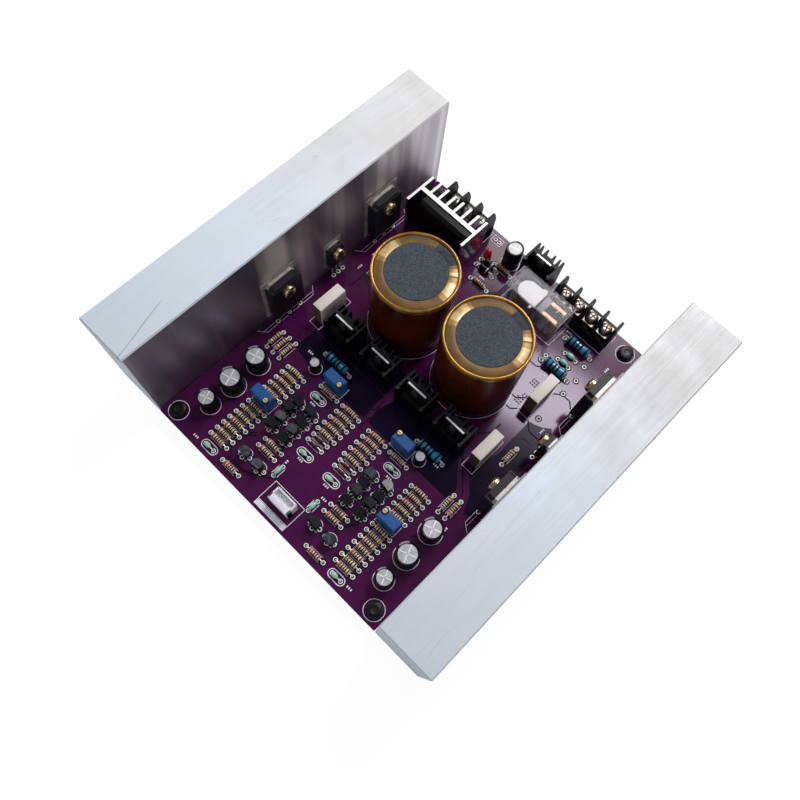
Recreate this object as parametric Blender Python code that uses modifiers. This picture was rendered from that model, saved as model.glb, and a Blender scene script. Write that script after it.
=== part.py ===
"""Two channel audio amplifier board between two aluminium heat spreader bars.

The frame is in metres with +Z up and the origin on the ground under the middle of the board.
X runs from the left bar to the right bar, Y from the input connector to the terminal blocks.
"""
import math

import bmesh
import bpy
from mathutils import Matrix, Vector

# Board, standoffs and bars
BOARD_WIDTH = 0.1254
BOARD_LENGTH = 0.167
BOARD_THICKNESS = 0.0016
STANDOFF_HEIGHT = 0.006
FIT = 0.0003
BAR_WIDTH = 0.0234
BAR_RISE = 0.0452
BAR_EDGE = 0.0005
CORNER_INSET = 0.0055

BOARD_TOP = STANDOFF_HEIGHT + BOARD_THICKNESS
SEAT = BOARD_TOP + FIT
BAR_FACE = BOARD_WIDTH / 2 + FIT

# Standoff under each corner, with its screw
STANDOFF_FLATS = 0.0055
SCREW_SHANK_RADIUS = 0.00125
SCREW_HEAD_RADIUS = 0.0034
SCREW_HEAD_HEIGHT = 0.0019
SCREW_HEAD_TAPER = 0.8

# The two channels mirror each other about this line across the small signal area
CHANNEL_AXIS = 0.0008
# The driver row behind it mirrors about its own line
DRIVER_AXIS = -0.0017

# Faces that meet within this many degrees are one flat face
FLAT_ANGLE = 0.5
# A face may lean by this cosine at most when a point of it moves
LEAN_COSINE = 0.99
# Twice the area below which a triangle counts as a sliver
SLIVER_AREA = 0.000000000001

# Leads of the small soldered parts
LEAD_RADIUS = 0.0003
LEAD_DEPTH = 0.0008
LEAD_BEND = 0.0004

# Small resistor lying flat
RESISTOR_RADIUS = 0.00115
RESISTOR_LENGTH = 0.0063
RESISTOR_PADS = 0.0096
RESISTOR_PITCH = 0.0034

# Blue metal film resistor
FILM_RESISTOR_RADIUS = 0.0021
FILM_RESISTOR_LENGTH = 0.0115
FILM_RESISTOR_PADS = 0.0145

# Diodes and the small green capacitors
DIODE_RADIUS = 0.00085
DIODE_LENGTH = 0.0038
DIODE_PADS = 0.008
RECTIFIER_RADIUS = 0.00135
RECTIFIER_LENGTH = 0.0052
DROP_RADIUS = 0.00115
DROP_LENGTH = 0.0044
DROP_SINK = 0.0003

# Small three-legged transistor
SMALL_TRANSISTOR_WIDTH = 0.0044
SMALL_TRANSISTOR_DEPTH = 0.0034
SMALL_TRANSISTOR_HEIGHT = 0.0044
SMALL_TRANSISTOR_LIFT = 0.0011
SMALL_TRANSISTOR_LEG = 0.00045
SMALL_TRANSISTOR_LEG_PITCH = 0.00127
SMALL_TRANSISTOR_PITCH = 0.00487
# Its half-round back, as shares of its half width: flat side, centre of the arc and depth of the arc
SMALL_TRANSISTOR_BACK = (0.9, 0.72, 0.8)

# Small parts that both channels hold: kind, distance from the channel axis, y of the first row,
# number of rows, pitch of the rows and quarter turns
CHANNEL_PARTS = (
    ("resistor", 0.03675, -0.0750, 7, RESISTOR_PITCH, 0),
    ("resistor", 0.03675, -0.0460, 5, RESISTOR_PITCH, 0),
    ("resistor", 0.02465, -0.0793, 1, 0.0, 0),
    ("resistor", 0.0194, -0.0647, 2, 0.0038, 0),
    ("resistor", 0.0078, -0.0282, 5, -0.00352, 0),
    ("diode", 0.0079, -0.0454, 2, -0.0032, 0),
    ("resistor", 0.0205, -0.0285, 1, 0.0, 0),
    ("resistor", 0.0471, -0.0277, 1, 0.0, 1),
    ("resistor", 0.0509, -0.0277, 1, 0.0, 1),
    ("resistor", 0.0547, -0.0277, 1, 0.0, 1),
    ("film_resistor", 0.0274, -0.0170, 1, 0.0, 0),
    ("drop", 0.0371, -0.0795, 1, 0.0, 0),
    ("drop", 0.0218, -0.0334, 1, 0.0, 0),
    ("drop", 0.0077, -0.0541, 1, 0.0, 0),
    ("drop", 0.0102, -0.0666, 1, 0.0, 1),
    ("transistor", 0.0164, -0.0710, 1, 0.0, 0),
    ("transistor", 0.0248, -0.0710, 1, 0.0, 0),
    ("transistor", 0.0179, -0.0408, 4, -SMALL_TRANSISTOR_PITCH, 0),
    ("transistor", 0.0260, -0.0408, 4, -SMALL_TRANSISTOR_PITCH, 0),
)
# Small parts that the board holds once: kind, x, y and quarter turns
SINGLE_PARTS = (
    ("resistor", 0.0527, 0.0057, 1),
    ("resistor", -0.0089, 0.0696, 0),
    ("resistor", -0.0115, 0.0564, 0),
    ("rectifier", -0.0147, 0.0669, 0),
    ("rectifier", -0.0146, 0.0634, 0),
    ("film_resistor", 0.0405, 0.0645, 0),
    ("film_resistor", 0.0401, 0.0490, 0),
    ("drop", 0.0411, 0.0591, 0),
    ("drop", 0.0408, 0.0545, 0),
    ("small_capacitor", -0.0320, -0.0246, 0),
    ("small_capacitor", 0.0275, -0.0225, 0),
)

# Capacitors
RESERVOIR_RADIUS = 0.0177
RESERVOIR_HEIGHT = 0.0385
RESERVOIR_SPACING = 0.0381
RESERVOIR_CENTRE = (-0.0012, 0.0202)
ELECTROLYTIC_HEIGHT = 0.0084
ELECTROLYTIC_OFFSET = 0.0508
ELECTROLYTICS = {"front": (-0.0672, 0.0040), "middle": (-0.0546, 0.0050), "back": (-0.0408, 0.0047)}
SUPPLY_CAPACITOR_RADIUS = 0.004
SUPPLY_CAPACITOR_HEIGHT = 0.0108
SUPPLY_CAPACITOR_PLACE = (-0.0090, 0.0752)
SMALL_CAPACITOR_RADIUS = 0.0025
SMALL_CAPACITOR_HEIGHT = 0.0062
# Width of the rolled lip and depth of the top inside it, by kind of can
RESERVOIR_LIP = (0.0050, 0.0007)
ELECTROLYTIC_LIP = (0.0008, 0.0002)
SMALL_CAPACITOR_LIP = (0.0006, 0.0002)

# White ceramic emitter resistor
EMITTER_RESISTOR_SIZE = (0.0050, 0.0145, 0.0118)
EMITTER_RESISTOR_OFFSET = 0.0456
EMITTER_RESISTOR_ROWS = (-0.0013, 0.0335)
EMITTER_RESISTOR_EDGE = 0.0003

# Output and bias transistors on the bars
INSULATOR_THICKNESS = 0.0004
POWER_OVERLAP = 0.0001
LEG_THICKNESS = 0.0006
TAB_SCREW_HEAD_RADIUS = 0.0026
POWER_SCREW_RADIUS = 0.0012
POWER_SCREW_HEAD_RADIUS = 0.0029
POWER_SCREW_HEAD_HEIGHT = 0.0019
POWER_SCREW_REACH = 0.006
OUTPUT_TRANSISTOR_ROWS = (-0.0142, 0.0441)
BIAS_TRANSISTOR_ROW = 0.0152
# Sizes of each power transistor's body, metal tab, legs and screw. Heights are above the board.
OUTPUT_TRANSISTOR = {
    "width": 0.0156, "bottom": 0.0050, "top": 0.0245, "depth": 0.0048, "tab_top": 0.0250,
    "tab_depth": 0.0016, "corner": 0.0022, "leg_pitch": 0.00545, "leg_width": 0.0011,
    "leg_depth": 0.0030, "screw_height": 0.0195, "tab_inset": 0.0006, "sheet": (0.0190, 0.0030, 0.0262),
}
BIAS_TRANSISTOR = {
    "width": 0.0080, "bottom": 0.0066, "top": 0.0174, "depth": 0.0032, "tab_top": 0.0177,
    "tab_depth": 0.0010, "corner": 0.0008, "leg_pitch": 0.0023, "leg_width": 0.0008,
    "leg_depth": 0.0017, "screw_height": 0.0140, "tab_inset": 0.0004, "sheet": (0.0100, 0.0050, 0.0190),
}
TAB_TRANSISTOR = {
    "width": 0.0102, "bottom": 0.0012, "top": 0.0095, "depth": 0.0044, "tab_top": 0.0156,
    "tab_depth": 0.0013, "leg_pitch": 0.00254, "leg_width": 0.0008, "leg_depth": 0.0024,
    "screw_height": 0.0127,
}

# Finned heatsink of the driver transistors and the regulator
SMALL_SINK_WIDTH = 0.0146
SMALL_SINK_FRONT = 0.0062
SMALL_SINK_BACK = 0.0052
SMALL_SINK_HEIGHT = 0.0142
SMALL_SINK_WALL = 0.0010
SMALL_SINK_PLATE = 0.0014
SMALL_SINK_NUB = 0.0016
SMALL_SINK_BOSS = 0.0026
SMALL_SINK_FIN = 0.0008
SMALL_SINK_FIN_SHARES = (-0.33, -0.14, 0.14, 0.33)
DRIVER_PITCH = 0.0209
DRIVER_PLATE_Y = -0.0053
REGULATOR_PLACE = (0.0047, 0.0777)

# Rectifier and its heatsink
RECTIFIER_SINK_WIDTH = 0.0330
RECTIFIER_SINK_FRONT = 0.0079
RECTIFIER_SINK_BACK = 0.0086
RECTIFIER_SINK_HEIGHT = 0.0200
RECTIFIER_SINK_WALL = 0.0012
RECTIFIER_SINK_PLATE = 0.0020
RECTIFIER_SINK_PLACE = (-0.0390, 0.0607)
RECTIFIER_SINK_FINS = 6
RECTIFIER_SINK_FIN_PITCH = 0.00449
BRIDGE_SIZE = (0.0262, 0.0042, 0.0196)
BRIDGE_X = -0.0373
# Chamfer of the bridge's top front edge: depth from the front and height from the top
BRIDGE_CHAMFER = (0.00126, 0.00137)

# Trimmer
TRIMMER_SIZE = (0.0095, 0.0048, 0.0090)
TRIMMER_SCREW_RADIUS = 0.0011
TRIMMER_SCREW_PLACE = (0.0034, -0.0011)
TRIMMER_SCREW_DEPTH = 0.0024
TRIMMER_SCREW_RISE = 0.0007
SLOT_WIDTH = 0.0005
TRIMMER_PLACES = {
    "left_front": (-0.0355, -0.0502, 0.0), "left_back": (-0.0199, -0.0242, 0.0),
    "right_front": (0.0372, -0.0502, math.pi), "right_back": (0.0188, -0.0234, math.pi),
}

# Relay
RELAY_SIZE = (0.0296, 0.0127, 0.0140)
RELAY_PLACE = (0.0152, 0.0634)
RELAY_WALL = 0.0008
RELAY_BASE_HEIGHT = 0.0020
RELAY_HINGE_X = 0.0026
RELAY_HINGE_Z = 0.0105
RELAY_OVERLAP = 0.0005
COIL_X = -0.0062
COIL_CLEARANCE = 0.0006
COIL_RIGHT = 0.0002
COIL_HEIGHT = 0.0104
BOBBIN_PLATE_THICKNESS = 0.0008
BOBBIN_PLATE_OVERHANG = 0.0006
YOKE_THICKNESS = 0.0012
YOKE_WIDTH = 0.0075
ARMATURE_SIZE = (0.0030, 0.0078, 0.0006)
ARMATURE_X = 0.0008
SPRING_THICKNESS = 0.0003
SPRING_WIDTH = 0.0018
SPRING_START = 0.0018
SPRING_END_INSET = 0.0022
# Contact posts: size across, distance from the middle and from the relay's end, and height of the open gap
CONTACT_POST_SIZE = (0.0016, 0.0022)
CONTACT_SIDE = 0.0031
CONTACT_INSET = 0.0030
CONTACT_GAP = 0.00065

# Barrier terminal blocks
TERMINAL_PITCH = 0.0077
TERMINAL_WALL = 0.0013
TERMINAL_DEPTH = 0.0108
TERMINAL_SHELF = 0.0070
TERMINAL_HEIGHT = 0.0144
TERMINAL_FRONT_Y = 0.0701
TERMINAL_SCREW_Y = 0.0752
TERMINAL_SCREW_RADIUS = 0.0028
TERMINAL_SCREW_HEIGHT = 0.0018
TERMINAL_SCREW_TAPER = 0.85
TERMINAL_SLOT_WIDTH = 0.0007
TERMINAL_PLATE_THICKNESS = 0.0008
TERMINAL_PLATE_LENGTH = 0.0074
TERMINAL_PLATE_MARGIN = 0.0004
TERMINAL_OVERLAP = 0.0002
# Upper corners of a barrier wall from front to back: share of the depth, share of the rise above the shelf
TERMINAL_WALL_CORNERS = ((0.12, 0.35), (0.32, 1.0), (0.84, 1.0), (1.0, 0.45))
TERMINAL_PLACES = {"power": (-0.0376, 3), "speaker": (0.03255, 4)}

# Input connector and indicator lamp
CONNECTOR_SIZE = (0.0106, 0.0060, 0.0070)
CONNECTOR_PLACE = (0.0026, -0.0743)
CONNECTOR_WALL = 0.0007
CONNECTOR_LEDGE = 0.0028
CONNECTOR_POCKET_DEPTH = 0.0042
LAMP_RADIUS = 0.0016
LAMP_HEIGHT = 0.0048
LAMP_FLANGE = 0.0004
# Shoulder of the lamp's dome, as shares of its radius: across and down from the top
LAMP_SHOULDER = (0.6, 0.25)
LAMP_PLACE = (-0.0185, 0.0700)


def start_scene():
    """Remove what the scene holds and make the collection and parent of the model."""
    for item in list(bpy.data.objects):
        bpy.data.objects.remove(item, do_unlink=True)
    collection = bpy.data.collections.new("audio_amplifier_board")
    bpy.context.scene.collection.children.link(collection)
    parent = bpy.data.objects.new("board_origin", None)
    collection.objects.link(parent)
    return collection, parent


COLLECTION, PARENT = start_scene()


def linear(channel):
    """Turn one sRGB channel from 0 to 255 into a linear value."""
    value = channel / 255
    if value <= 0.04045:
        return value / 12.92
    return ((value + 0.055) / 1.055) ** 2.4


def material(name, colour, roughness, metallic=0.0, alpha=1.0):
    """Make a Principled material from an sRGB colour."""
    made = bpy.data.materials.new(name)
    made.use_nodes = True
    shader = made.node_tree.nodes["Principled BSDF"]
    shade = [linear(channel) for channel in colour] + [1.0]
    shader.inputs["Base Color"].default_value = shade
    shader.inputs["Roughness"].default_value = roughness
    shader.inputs["Metallic"].default_value = metallic
    shader.inputs["Alpha"].default_value = alpha
    made.diffuse_color = shade
    return made


MASK = material("purple_solder_mask", (80, 20, 75), 0.3)
ALUMINIUM = material("mill_aluminium", (205, 212, 220), 0.35, 1.0)
GOLD_SLEEVE = material("gold_film_sleeve", (190, 135, 50), 0.25, 0.6)
BLACK_SLEEVE = material("black_film_sleeve", (26, 26, 30), 0.35)
EPOXY = material("black_epoxy", (22, 22, 24), 0.5)
BLACK_ANODISED = material("black_anodised_aluminium", (24, 25, 28), 0.4, 0.6)
CERAMIC = material("white_ceramic_cement", (205, 200, 190), 0.8)
TRIMMER_BLUE = material("blue_trimmer_plastic", (70, 130, 195), 0.45)
BRASS = material("brass", (225, 190, 130), 0.3, 1.0)
RESISTOR_TAN = material("tan_resistor_lacquer", (190, 150, 115), 0.4)
FILM_BLUE = material("blue_resistor_lacquer", (30, 120, 160), 0.35)
DIODE_RED = material("red_diode_glass", (150, 45, 30), 0.2)
DROP_GREEN = material("green_capacitor_lacquer", (150, 210, 180), 0.3)
NICKEL = material("nickel_plated_steel", (200, 195, 185), 0.25, 1.0)
BLACK_PLASTIC = material("black_terminal_plastic", (30, 31, 32), 0.5)
WHITE_PLASTIC = material("white_nylon", (215, 218, 225), 0.5)
CLEAR_COVER = material("clear_relay_cover", (215, 215, 225), 0.1, 0.0, 0.35)
COPPER = material("copper_winding", (150, 75, 45), 0.35, 0.8)
SPRING_COPPER = material("contact_spring_copper", (235, 175, 130), 0.3, 1.0)
LAMP_RED = material("red_lamp_epoxy", (190, 15, 10), 0.2)
BLACK_STEEL = material("black_oxide_steel", (20, 20, 22), 0.35, 0.8)


def place(name, mesh, shade, location=(0.0, 0.0, 0.0), turn=0.0):
    """Put a finished mesh into the model as one named sub-part."""
    item = bpy.data.objects.new(name, mesh)
    if shade is not None:
        mesh.materials.clear()
        mesh.materials.append(shade)
    mesh.shade_smooth()
    mesh.set_sharp_from_angle(angle=math.radians(35))
    COLLECTION.objects.link(item)
    item.parent = PARENT
    item.location = location
    item.rotation_euler = (0.0, 0.0, turn)
    return item


def mesh_from(build, shade=None):
    """Turn a bmesh into mesh data, with a material where one is given."""
    mesh = bpy.data.meshes.new("shape")
    build.to_mesh(mesh)
    build.free()
    if shade is not None:
        mesh.materials.append(shade)
    return mesh


def box(size, centre, shade=None, edge=0.0):
    """A block, with its edges broken by a small chamfer where one is given."""
    build = bmesh.new()
    bmesh.ops.create_cube(build, size=1.0)
    bmesh.ops.scale(build, vec=size, verts=build.verts)
    if edge > 0:
        bmesh.ops.bevel(build, geom=build.edges, offset=edge, segments=1, affect="EDGES")
    bmesh.ops.translate(build, vec=centre, verts=build.verts)
    return mesh_from(build, shade)


def drum(radius, depth, centre, sides, shade=None, axis="Z", end_radius=None):
    """A cylinder or cone along one axis, centred on its middle."""
    build = bmesh.new()
    second = radius if end_radius is None else end_radius
    bmesh.ops.create_cone(build, cap_ends=True, segments=sides, radius1=radius, radius2=second, depth=depth)
    turns = {"X": Matrix.Rotation(math.pi / 2, 4, "Y"), "Y": Matrix.Rotation(-math.pi / 2, 4, "X")}
    if axis in turns:
        bmesh.ops.transform(build, matrix=turns[axis], verts=build.verts)
    bmesh.ops.translate(build, vec=centre, verts=build.verts)
    return mesh_from(build, shade)


def baked(item, shade=None):
    """Read an object with its modifiers, weld its loose caps and remove the object."""
    bpy.context.view_layer.update()
    graph = bpy.context.evaluated_depsgraph_get()
    mesh = bpy.data.meshes.new_from_object(item.evaluated_get(graph))
    build = bmesh.new()
    build.from_mesh(mesh)
    bmesh.ops.remove_doubles(build, verts=build.verts, dist=0.000001)
    build.to_mesh(mesh)
    build.free()
    if shade is not None:
        mesh.materials.clear()
        mesh.materials.append(shade)
    bpy.data.objects.remove(item, do_unlink=True)
    return mesh


def turned(profile, sides, shade=None):
    """Revolve a profile of radius and height pairs, given from the top axis point down the outer side."""
    mesh = bpy.data.meshes.new("profile")
    points = [(radius, 0.0, height) for radius, height in profile]
    mesh.from_pydata(points, [(i, i + 1) for i in range(len(points) - 1)], [])
    item = bpy.data.objects.new("profile", mesh)
    bpy.context.scene.collection.objects.link(item)
    screw = item.modifiers.new("revolve", "SCREW")
    screw.steps = sides
    screw.render_steps = sides
    screw.use_merge_vertices = True
    screw.merge_threshold = 0.000005
    return baked(item, shade)


def plate(outline, thickness, base, shade=None):
    """Extrude a flat closed outline upward from a base height."""
    curve = bpy.data.curves.new("outline", "CURVE")
    curve.dimensions = "2D"
    curve.fill_mode = "BOTH"
    curve.extrude = thickness / 2
    spline = curve.splines.new("POLY")
    spline.points.add(len(outline) - 1)
    for point, (x, y) in zip(spline.points, outline):
        point.co = (x, y, 0.0, 1.0)
    spline.use_cyclic_u = True
    item = bpy.data.objects.new("outline", curve)
    bpy.context.scene.collection.objects.link(item)
    mesh = baked(item, shade)
    mesh.transform(Matrix.Translation((0.0, 0.0, base + thickness / 2)))
    return mesh


def wire(points, radius, shade=None):
    """A square drawn wire through a few points."""
    curve = bpy.data.curves.new("wire", "CURVE")
    curve.dimensions = "3D"
    curve.bevel_depth = radius
    curve.bevel_resolution = 0
    curve.use_fill_caps = True
    spline = curve.splines.new("POLY")
    spline.points.add(len(points) - 1)
    for point, place_of_point in zip(spline.points, points):
        point.co = (*place_of_point, 1.0)
    item = bpy.data.objects.new("wire", curve)
    bpy.context.scene.collection.objects.link(item)
    return baked(item, shade)


def same_plane(first, second):
    """True where two faces lie in one plane and share a material."""
    flat = first.normal.dot(second.normal) > math.cos(math.radians(FLAT_ANGLE))
    return flat and first.material_index == second.material_index


def keeps_shape(point, target):
    """True where moving a point onto its neighbour turns no face over and leaves the surface whole."""
    around_point = {edge.other_vert(point) for edge in point.link_edges}
    around_target = {edge.other_vert(target) for edge in target.link_edges}
    if len(around_point & around_target) != 2:
        return False
    for face in point.link_faces:
        if target in face.verts:
            continue
        corners = [target.co if vert is point else vert.co for vert in face.verts]
        normal = (corners[1] - corners[0]).cross(corners[2] - corners[0])
        if normal.length < SLIVER_AREA or normal.normalized().dot(face.normal) < LEAN_COSINE:
            return False
    return True


def spare_target(point):
    """Neighbour onto which a point on a straight edge or a flat face can move, or None."""
    borders = []
    for edge in point.link_edges:
        if not edge.is_manifold:
            return None
        if not same_plane(*edge.link_faces):
            borders.append(edge)
    if len(borders) not in (0, 2):
        return None
    edges = borders if borders else list(point.link_edges)
    if borders:
        ways = [(edge.other_vert(point).co - point.co).normalized() for edge in borders]
        if ways[0].dot(ways[1]) > -math.cos(math.radians(FLAT_ANGLE)):
            return None
    for edge in sorted(edges, key=lambda item: item.calc_length()):
        target = edge.other_vert(point)
        if keeps_shape(point, target):
            return target
    return None


def merged(mesh):
    """Drop the points that a Boolean left on straight edges and flat faces."""
    build = bmesh.new()
    build.from_mesh(mesh)
    bmesh.ops.triangulate(build, faces=build.faces)
    for point in list(build.verts):
        target = spare_target(point) if point.is_valid else None
        if target is not None:
            bmesh.ops.pointmerge(build, verts=[target, point], merge_co=target.co)
    build.to_mesh(mesh)
    build.free()
    return mesh


def combine(body, others, operation):
    """Join shapes to a body, or cut them from it, with one exact Boolean."""
    group = bpy.data.collections.new("operands")
    bpy.context.scene.collection.children.link(group)
    for mesh, matrix in others:
        operand = bpy.data.objects.new("operand", mesh)
        operand.matrix_world = matrix
        group.objects.link(operand)
    item = bpy.data.objects.new("body", body)
    bpy.context.scene.collection.objects.link(item)
    step = item.modifiers.new("combine", "BOOLEAN")
    step.operation = operation
    step.operand_type = "COLLECTION"
    step.collection = group
    step.solver = "EXACT"
    step.material_mode = "TRANSFER"
    mesh = baked(item)
    for operand in list(group.objects):
        bpy.data.objects.remove(operand, do_unlink=True)
    bpy.data.collections.remove(group)
    return merged(mesh)


def at(x=0.0, y=0.0, z=0.0, turn=0.0):
    """Placing matrix of a shape, turned about Z."""
    return Matrix.Translation((x, y, z)) @ Matrix.Rotation(turn, 4, "Z")


def joined(*meshes):
    """Union of shapes that are already in place."""
    return combine(meshes[0], [(mesh, Matrix.Identity(4)) for mesh in meshes[1:]], "UNION")


def cut(body, *cutters):
    """Body less its cutters, which are already in place."""
    return combine(body, [(mesh, Matrix.Identity(4)) for mesh in cutters], "DIFFERENCE")


def lying_part(radius, length, pads, sides, shade):
    """Resistor or diode lying along X on a board at zero, with a lead from each end down into it."""
    height = radius + FIT
    inside = length / 2 - LEAD_BEND
    pieces = [drum(radius, length, (0.0, 0.0, height), sides, shade, "X")]
    for side in (-1, 1):
        points = [(side * pads / 2, 0.0, -LEAD_DEPTH), (side * inside, 0.0, height)]
        pieces.append(wire(points, LEAD_RADIUS, NICKEL))
    return joined(*pieces)


def drop_part():
    """Small green capacitor, a drop of lacquer that lies on the board and hides its leads."""
    build = bmesh.new()
    bmesh.ops.create_uvsphere(build, u_segments=8, v_segments=4, radius=1.0)
    bmesh.ops.transform(build, matrix=Matrix.Rotation(math.pi / 2, 4, "Y"), verts=build.verts)
    bmesh.ops.scale(build, vec=(DROP_LENGTH / 2, DROP_RADIUS, DROP_RADIUS), verts=build.verts)
    bmesh.ops.translate(build, vec=(0.0, 0.0, DROP_RADIUS - DROP_SINK), verts=build.verts)
    return mesh_from(build, DROP_GREEN)


def small_transistor():
    """Half-round transistor on three legs, its flat to the front."""
    flat = -SMALL_TRANSISTOR_DEPTH / 2
    radius = SMALL_TRANSISTOR_WIDTH / 2
    flat_share, arc_centre, arc_depth = SMALL_TRANSISTOR_BACK
    outline = [(-radius * flat_share, flat), (radius * flat_share, flat)]
    for step in range(4):
        angle = step * math.pi / 3
        y = flat + radius * (arc_centre + arc_depth * math.sin(angle))
        outline.append((radius * math.cos(angle), y))
    body = plate(outline, SMALL_TRANSISTOR_HEIGHT, SMALL_TRANSISTOR_LIFT, EPOXY)
    leg_height = LEAD_DEPTH + SMALL_TRANSISTOR_LIFT + LEAD_RADIUS
    size = (SMALL_TRANSISTOR_LEG, SMALL_TRANSISTOR_LEG, leg_height)
    legs = []
    for number in (-1, 0, 1):
        centre = (number * SMALL_TRANSISTOR_LEG_PITCH, 0.0, leg_height / 2 - LEAD_DEPTH)
        legs.append(box(size, centre, NICKEL))
    return joined(body, *legs)


def capacitor(radius, height, sides, rim, shade):
    """Can with its sleeve rolled over the rim and its top sunk inside the lip."""
    lip, recess = rim
    profile = [
        (0.0, height - recess), (radius - lip - recess, height - recess), (radius - lip, height),
        (radius, height - lip / 2), (radius, 0.0), (0.0, 0.0),
    ]
    return turned(profile, sides, shade)


def small_capacitor():
    """Smallest electrolytic capacitor, sunk a little so that the board carries it."""
    can = capacitor(SMALL_CAPACITOR_RADIUS, SMALL_CAPACITOR_HEIGHT, 8, SMALL_CAPACITOR_LIP, BLACK_SLEEVE)
    can.transform(Matrix.Translation((0.0, 0.0, -LEAD_RADIUS)))
    return can


def small_part_places():
    """Places of every small soldered part: kind, x, y and turn."""
    places = []
    for kind, offset, first_y, count, pitch, turns in CHANNEL_PARTS:
        for row in range(count):
            for side in (-1, 1):
                x = CHANNEL_AXIS + side * offset
                places.append((kind, x, first_y + row * pitch, turns * math.pi / 2))
    for kind, x, y, turns in SINGLE_PARTS:
        places.append((kind, x, y, turns * math.pi / 2))
    return places


def corner_places():
    """Centres of the four corner screws."""
    x = BOARD_WIDTH / 2 - CORNER_INSET
    y = BOARD_LENGTH / 2 - CORNER_INSET
    names = {"left_front": (-x, -y), "right_front": (x, -y), "left_back": (-x, y), "right_back": (x, y)}
    return names


def build_circuit_board():
    """Board with its corner holes and every small part soldered to it."""
    centre = (0.0, 0.0, BOARD_TOP - BOARD_THICKNESS / 2)
    blank = box((BOARD_WIDTH, BOARD_LENGTH, BOARD_THICKNESS), centre, MASK)
    hole_radius = SCREW_SHANK_RADIUS + FIT
    holes = []
    for x, y in corner_places().values():
        holes.append(drum(hole_radius, 2 * BOARD_THICKNESS, (x, y, centre[2]), 8, MASK))
    drilled = cut(blank, *holes)
    film_resistor = lying_part(
        FILM_RESISTOR_RADIUS, FILM_RESISTOR_LENGTH, FILM_RESISTOR_PADS, 8, FILM_BLUE
    )
    kinds = {
        "resistor": lying_part(RESISTOR_RADIUS, RESISTOR_LENGTH, RESISTOR_PADS, 6, RESISTOR_TAN),
        "film_resistor": film_resistor,
        "diode": lying_part(DIODE_RADIUS, DIODE_LENGTH, DIODE_PADS, 6, DIODE_RED),
        "rectifier": lying_part(RECTIFIER_RADIUS, RECTIFIER_LENGTH, RESISTOR_PADS, 6, EPOXY),
        "drop": drop_part(),
        "transistor": small_transistor(),
        "small_capacitor": small_capacitor(),
    }
    parts = []
    for kind, x, y, turn in small_part_places():
        parts.append((kinds[kind], at(x, y, BOARD_TOP, turn)))
    mesh = combine(drilled, parts, "UNION")
    place("circuit_board", mesh, None)


def build_standoffs():
    """Hexagonal standoff under each corner, with the pan screw that holds the board."""
    for name, (x, y) in corner_places().items():
        body_height = STANDOFF_HEIGHT - FIT
        hexagon = drum(STANDOFF_FLATS / math.sqrt(3), body_height, (0.0, 0.0, body_height / 2), 6)
        shank_top = SEAT + SCREW_HEAD_HEIGHT / 2
        shank_height = shank_top - body_height / 2
        shank = drum(SCREW_SHANK_RADIUS, shank_height, (0.0, 0.0, shank_top - shank_height / 2), 8)
        head = drum(
            SCREW_HEAD_RADIUS, SCREW_HEAD_HEIGHT, (0.0, 0.0, SEAT + SCREW_HEAD_HEIGHT / 2), 12,
            end_radius=SCREW_HEAD_RADIUS * SCREW_HEAD_TAPER,
        )
        place("standoff_" + name, joined(hexagon, shank, head), BLACK_STEEL, (x, y, 0.0))


def bar_screw_points():
    """Heights and rows of the screws that go into each bar."""
    points = [(row, BOARD_TOP + OUTPUT_TRANSISTOR["screw_height"]) for row in OUTPUT_TRANSISTOR_ROWS]
    points.append((BIAS_TRANSISTOR_ROW, BOARD_TOP + BIAS_TRANSISTOR["screw_height"]))
    return points


def build_bars():
    """Solid aluminium bar along each long edge, drilled for the transistor screws."""
    height = BOARD_THICKNESS + BAR_RISE
    depth = POWER_SCREW_REACH + 2 * FIT
    for name, side in (("left", -1), ("right", 1)):
        x = side * (BAR_FACE + BAR_WIDTH / 2)
        z = STANDOFF_HEIGHT + height / 2
        blank = box((BAR_WIDTH, BOARD_LENGTH, height), (0.0, 0.0, 0.0), None, BAR_EDGE)
        holes = []
        for row, screw_z in bar_screw_points():
            centre = (-side * BAR_WIDTH / 2, row, screw_z - z)
            holes.append(drum(POWER_SCREW_RADIUS + FIT, 2 * depth, centre, 8, None, "X"))
        place(name + "_heat_spreader_bar", cut(blank, *holes), ALUMINIUM, (x, 0.0, z))


def upright_plate(width, bottom, top, corner, depth, back):
    """Slab standing on Z with its two upper corners cut, its back face at y = back."""
    half = width / 2
    outline = [(-half, bottom), (half, bottom), (half, top - corner), (half - corner, top)]
    outline += [(corner - half, top), (-half, top - corner)]
    mesh = plate(outline, depth, 0.0)
    mesh.transform(Matrix.Translation((0.0, back, 0.0)) @ Matrix.Rotation(math.pi / 2, 4, "X"))
    return mesh


def transistor_legs(spec, back):
    """Three flat legs from inside the body down to just above the board."""
    leg_top = spec["bottom"] + POWER_OVERLAP
    legs = []
    for number in (-1, 0, 1):
        centre = (number * spec["leg_pitch"], back - spec["leg_depth"], (leg_top + FIT) / 2)
        legs.append(box((spec["leg_width"], LEG_THICKNESS, leg_top - FIT), centre))
    return legs


def screw_head(front, height, radius):
    """Head of a holding screw, a little sunk into the face it presses on."""
    length = POWER_SCREW_HEAD_HEIGHT + POWER_OVERLAP
    centre = (0.0, front + POWER_OVERLAP - length / 2, height)
    return drum(radius, length, centre, 8, None, "Y")


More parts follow.
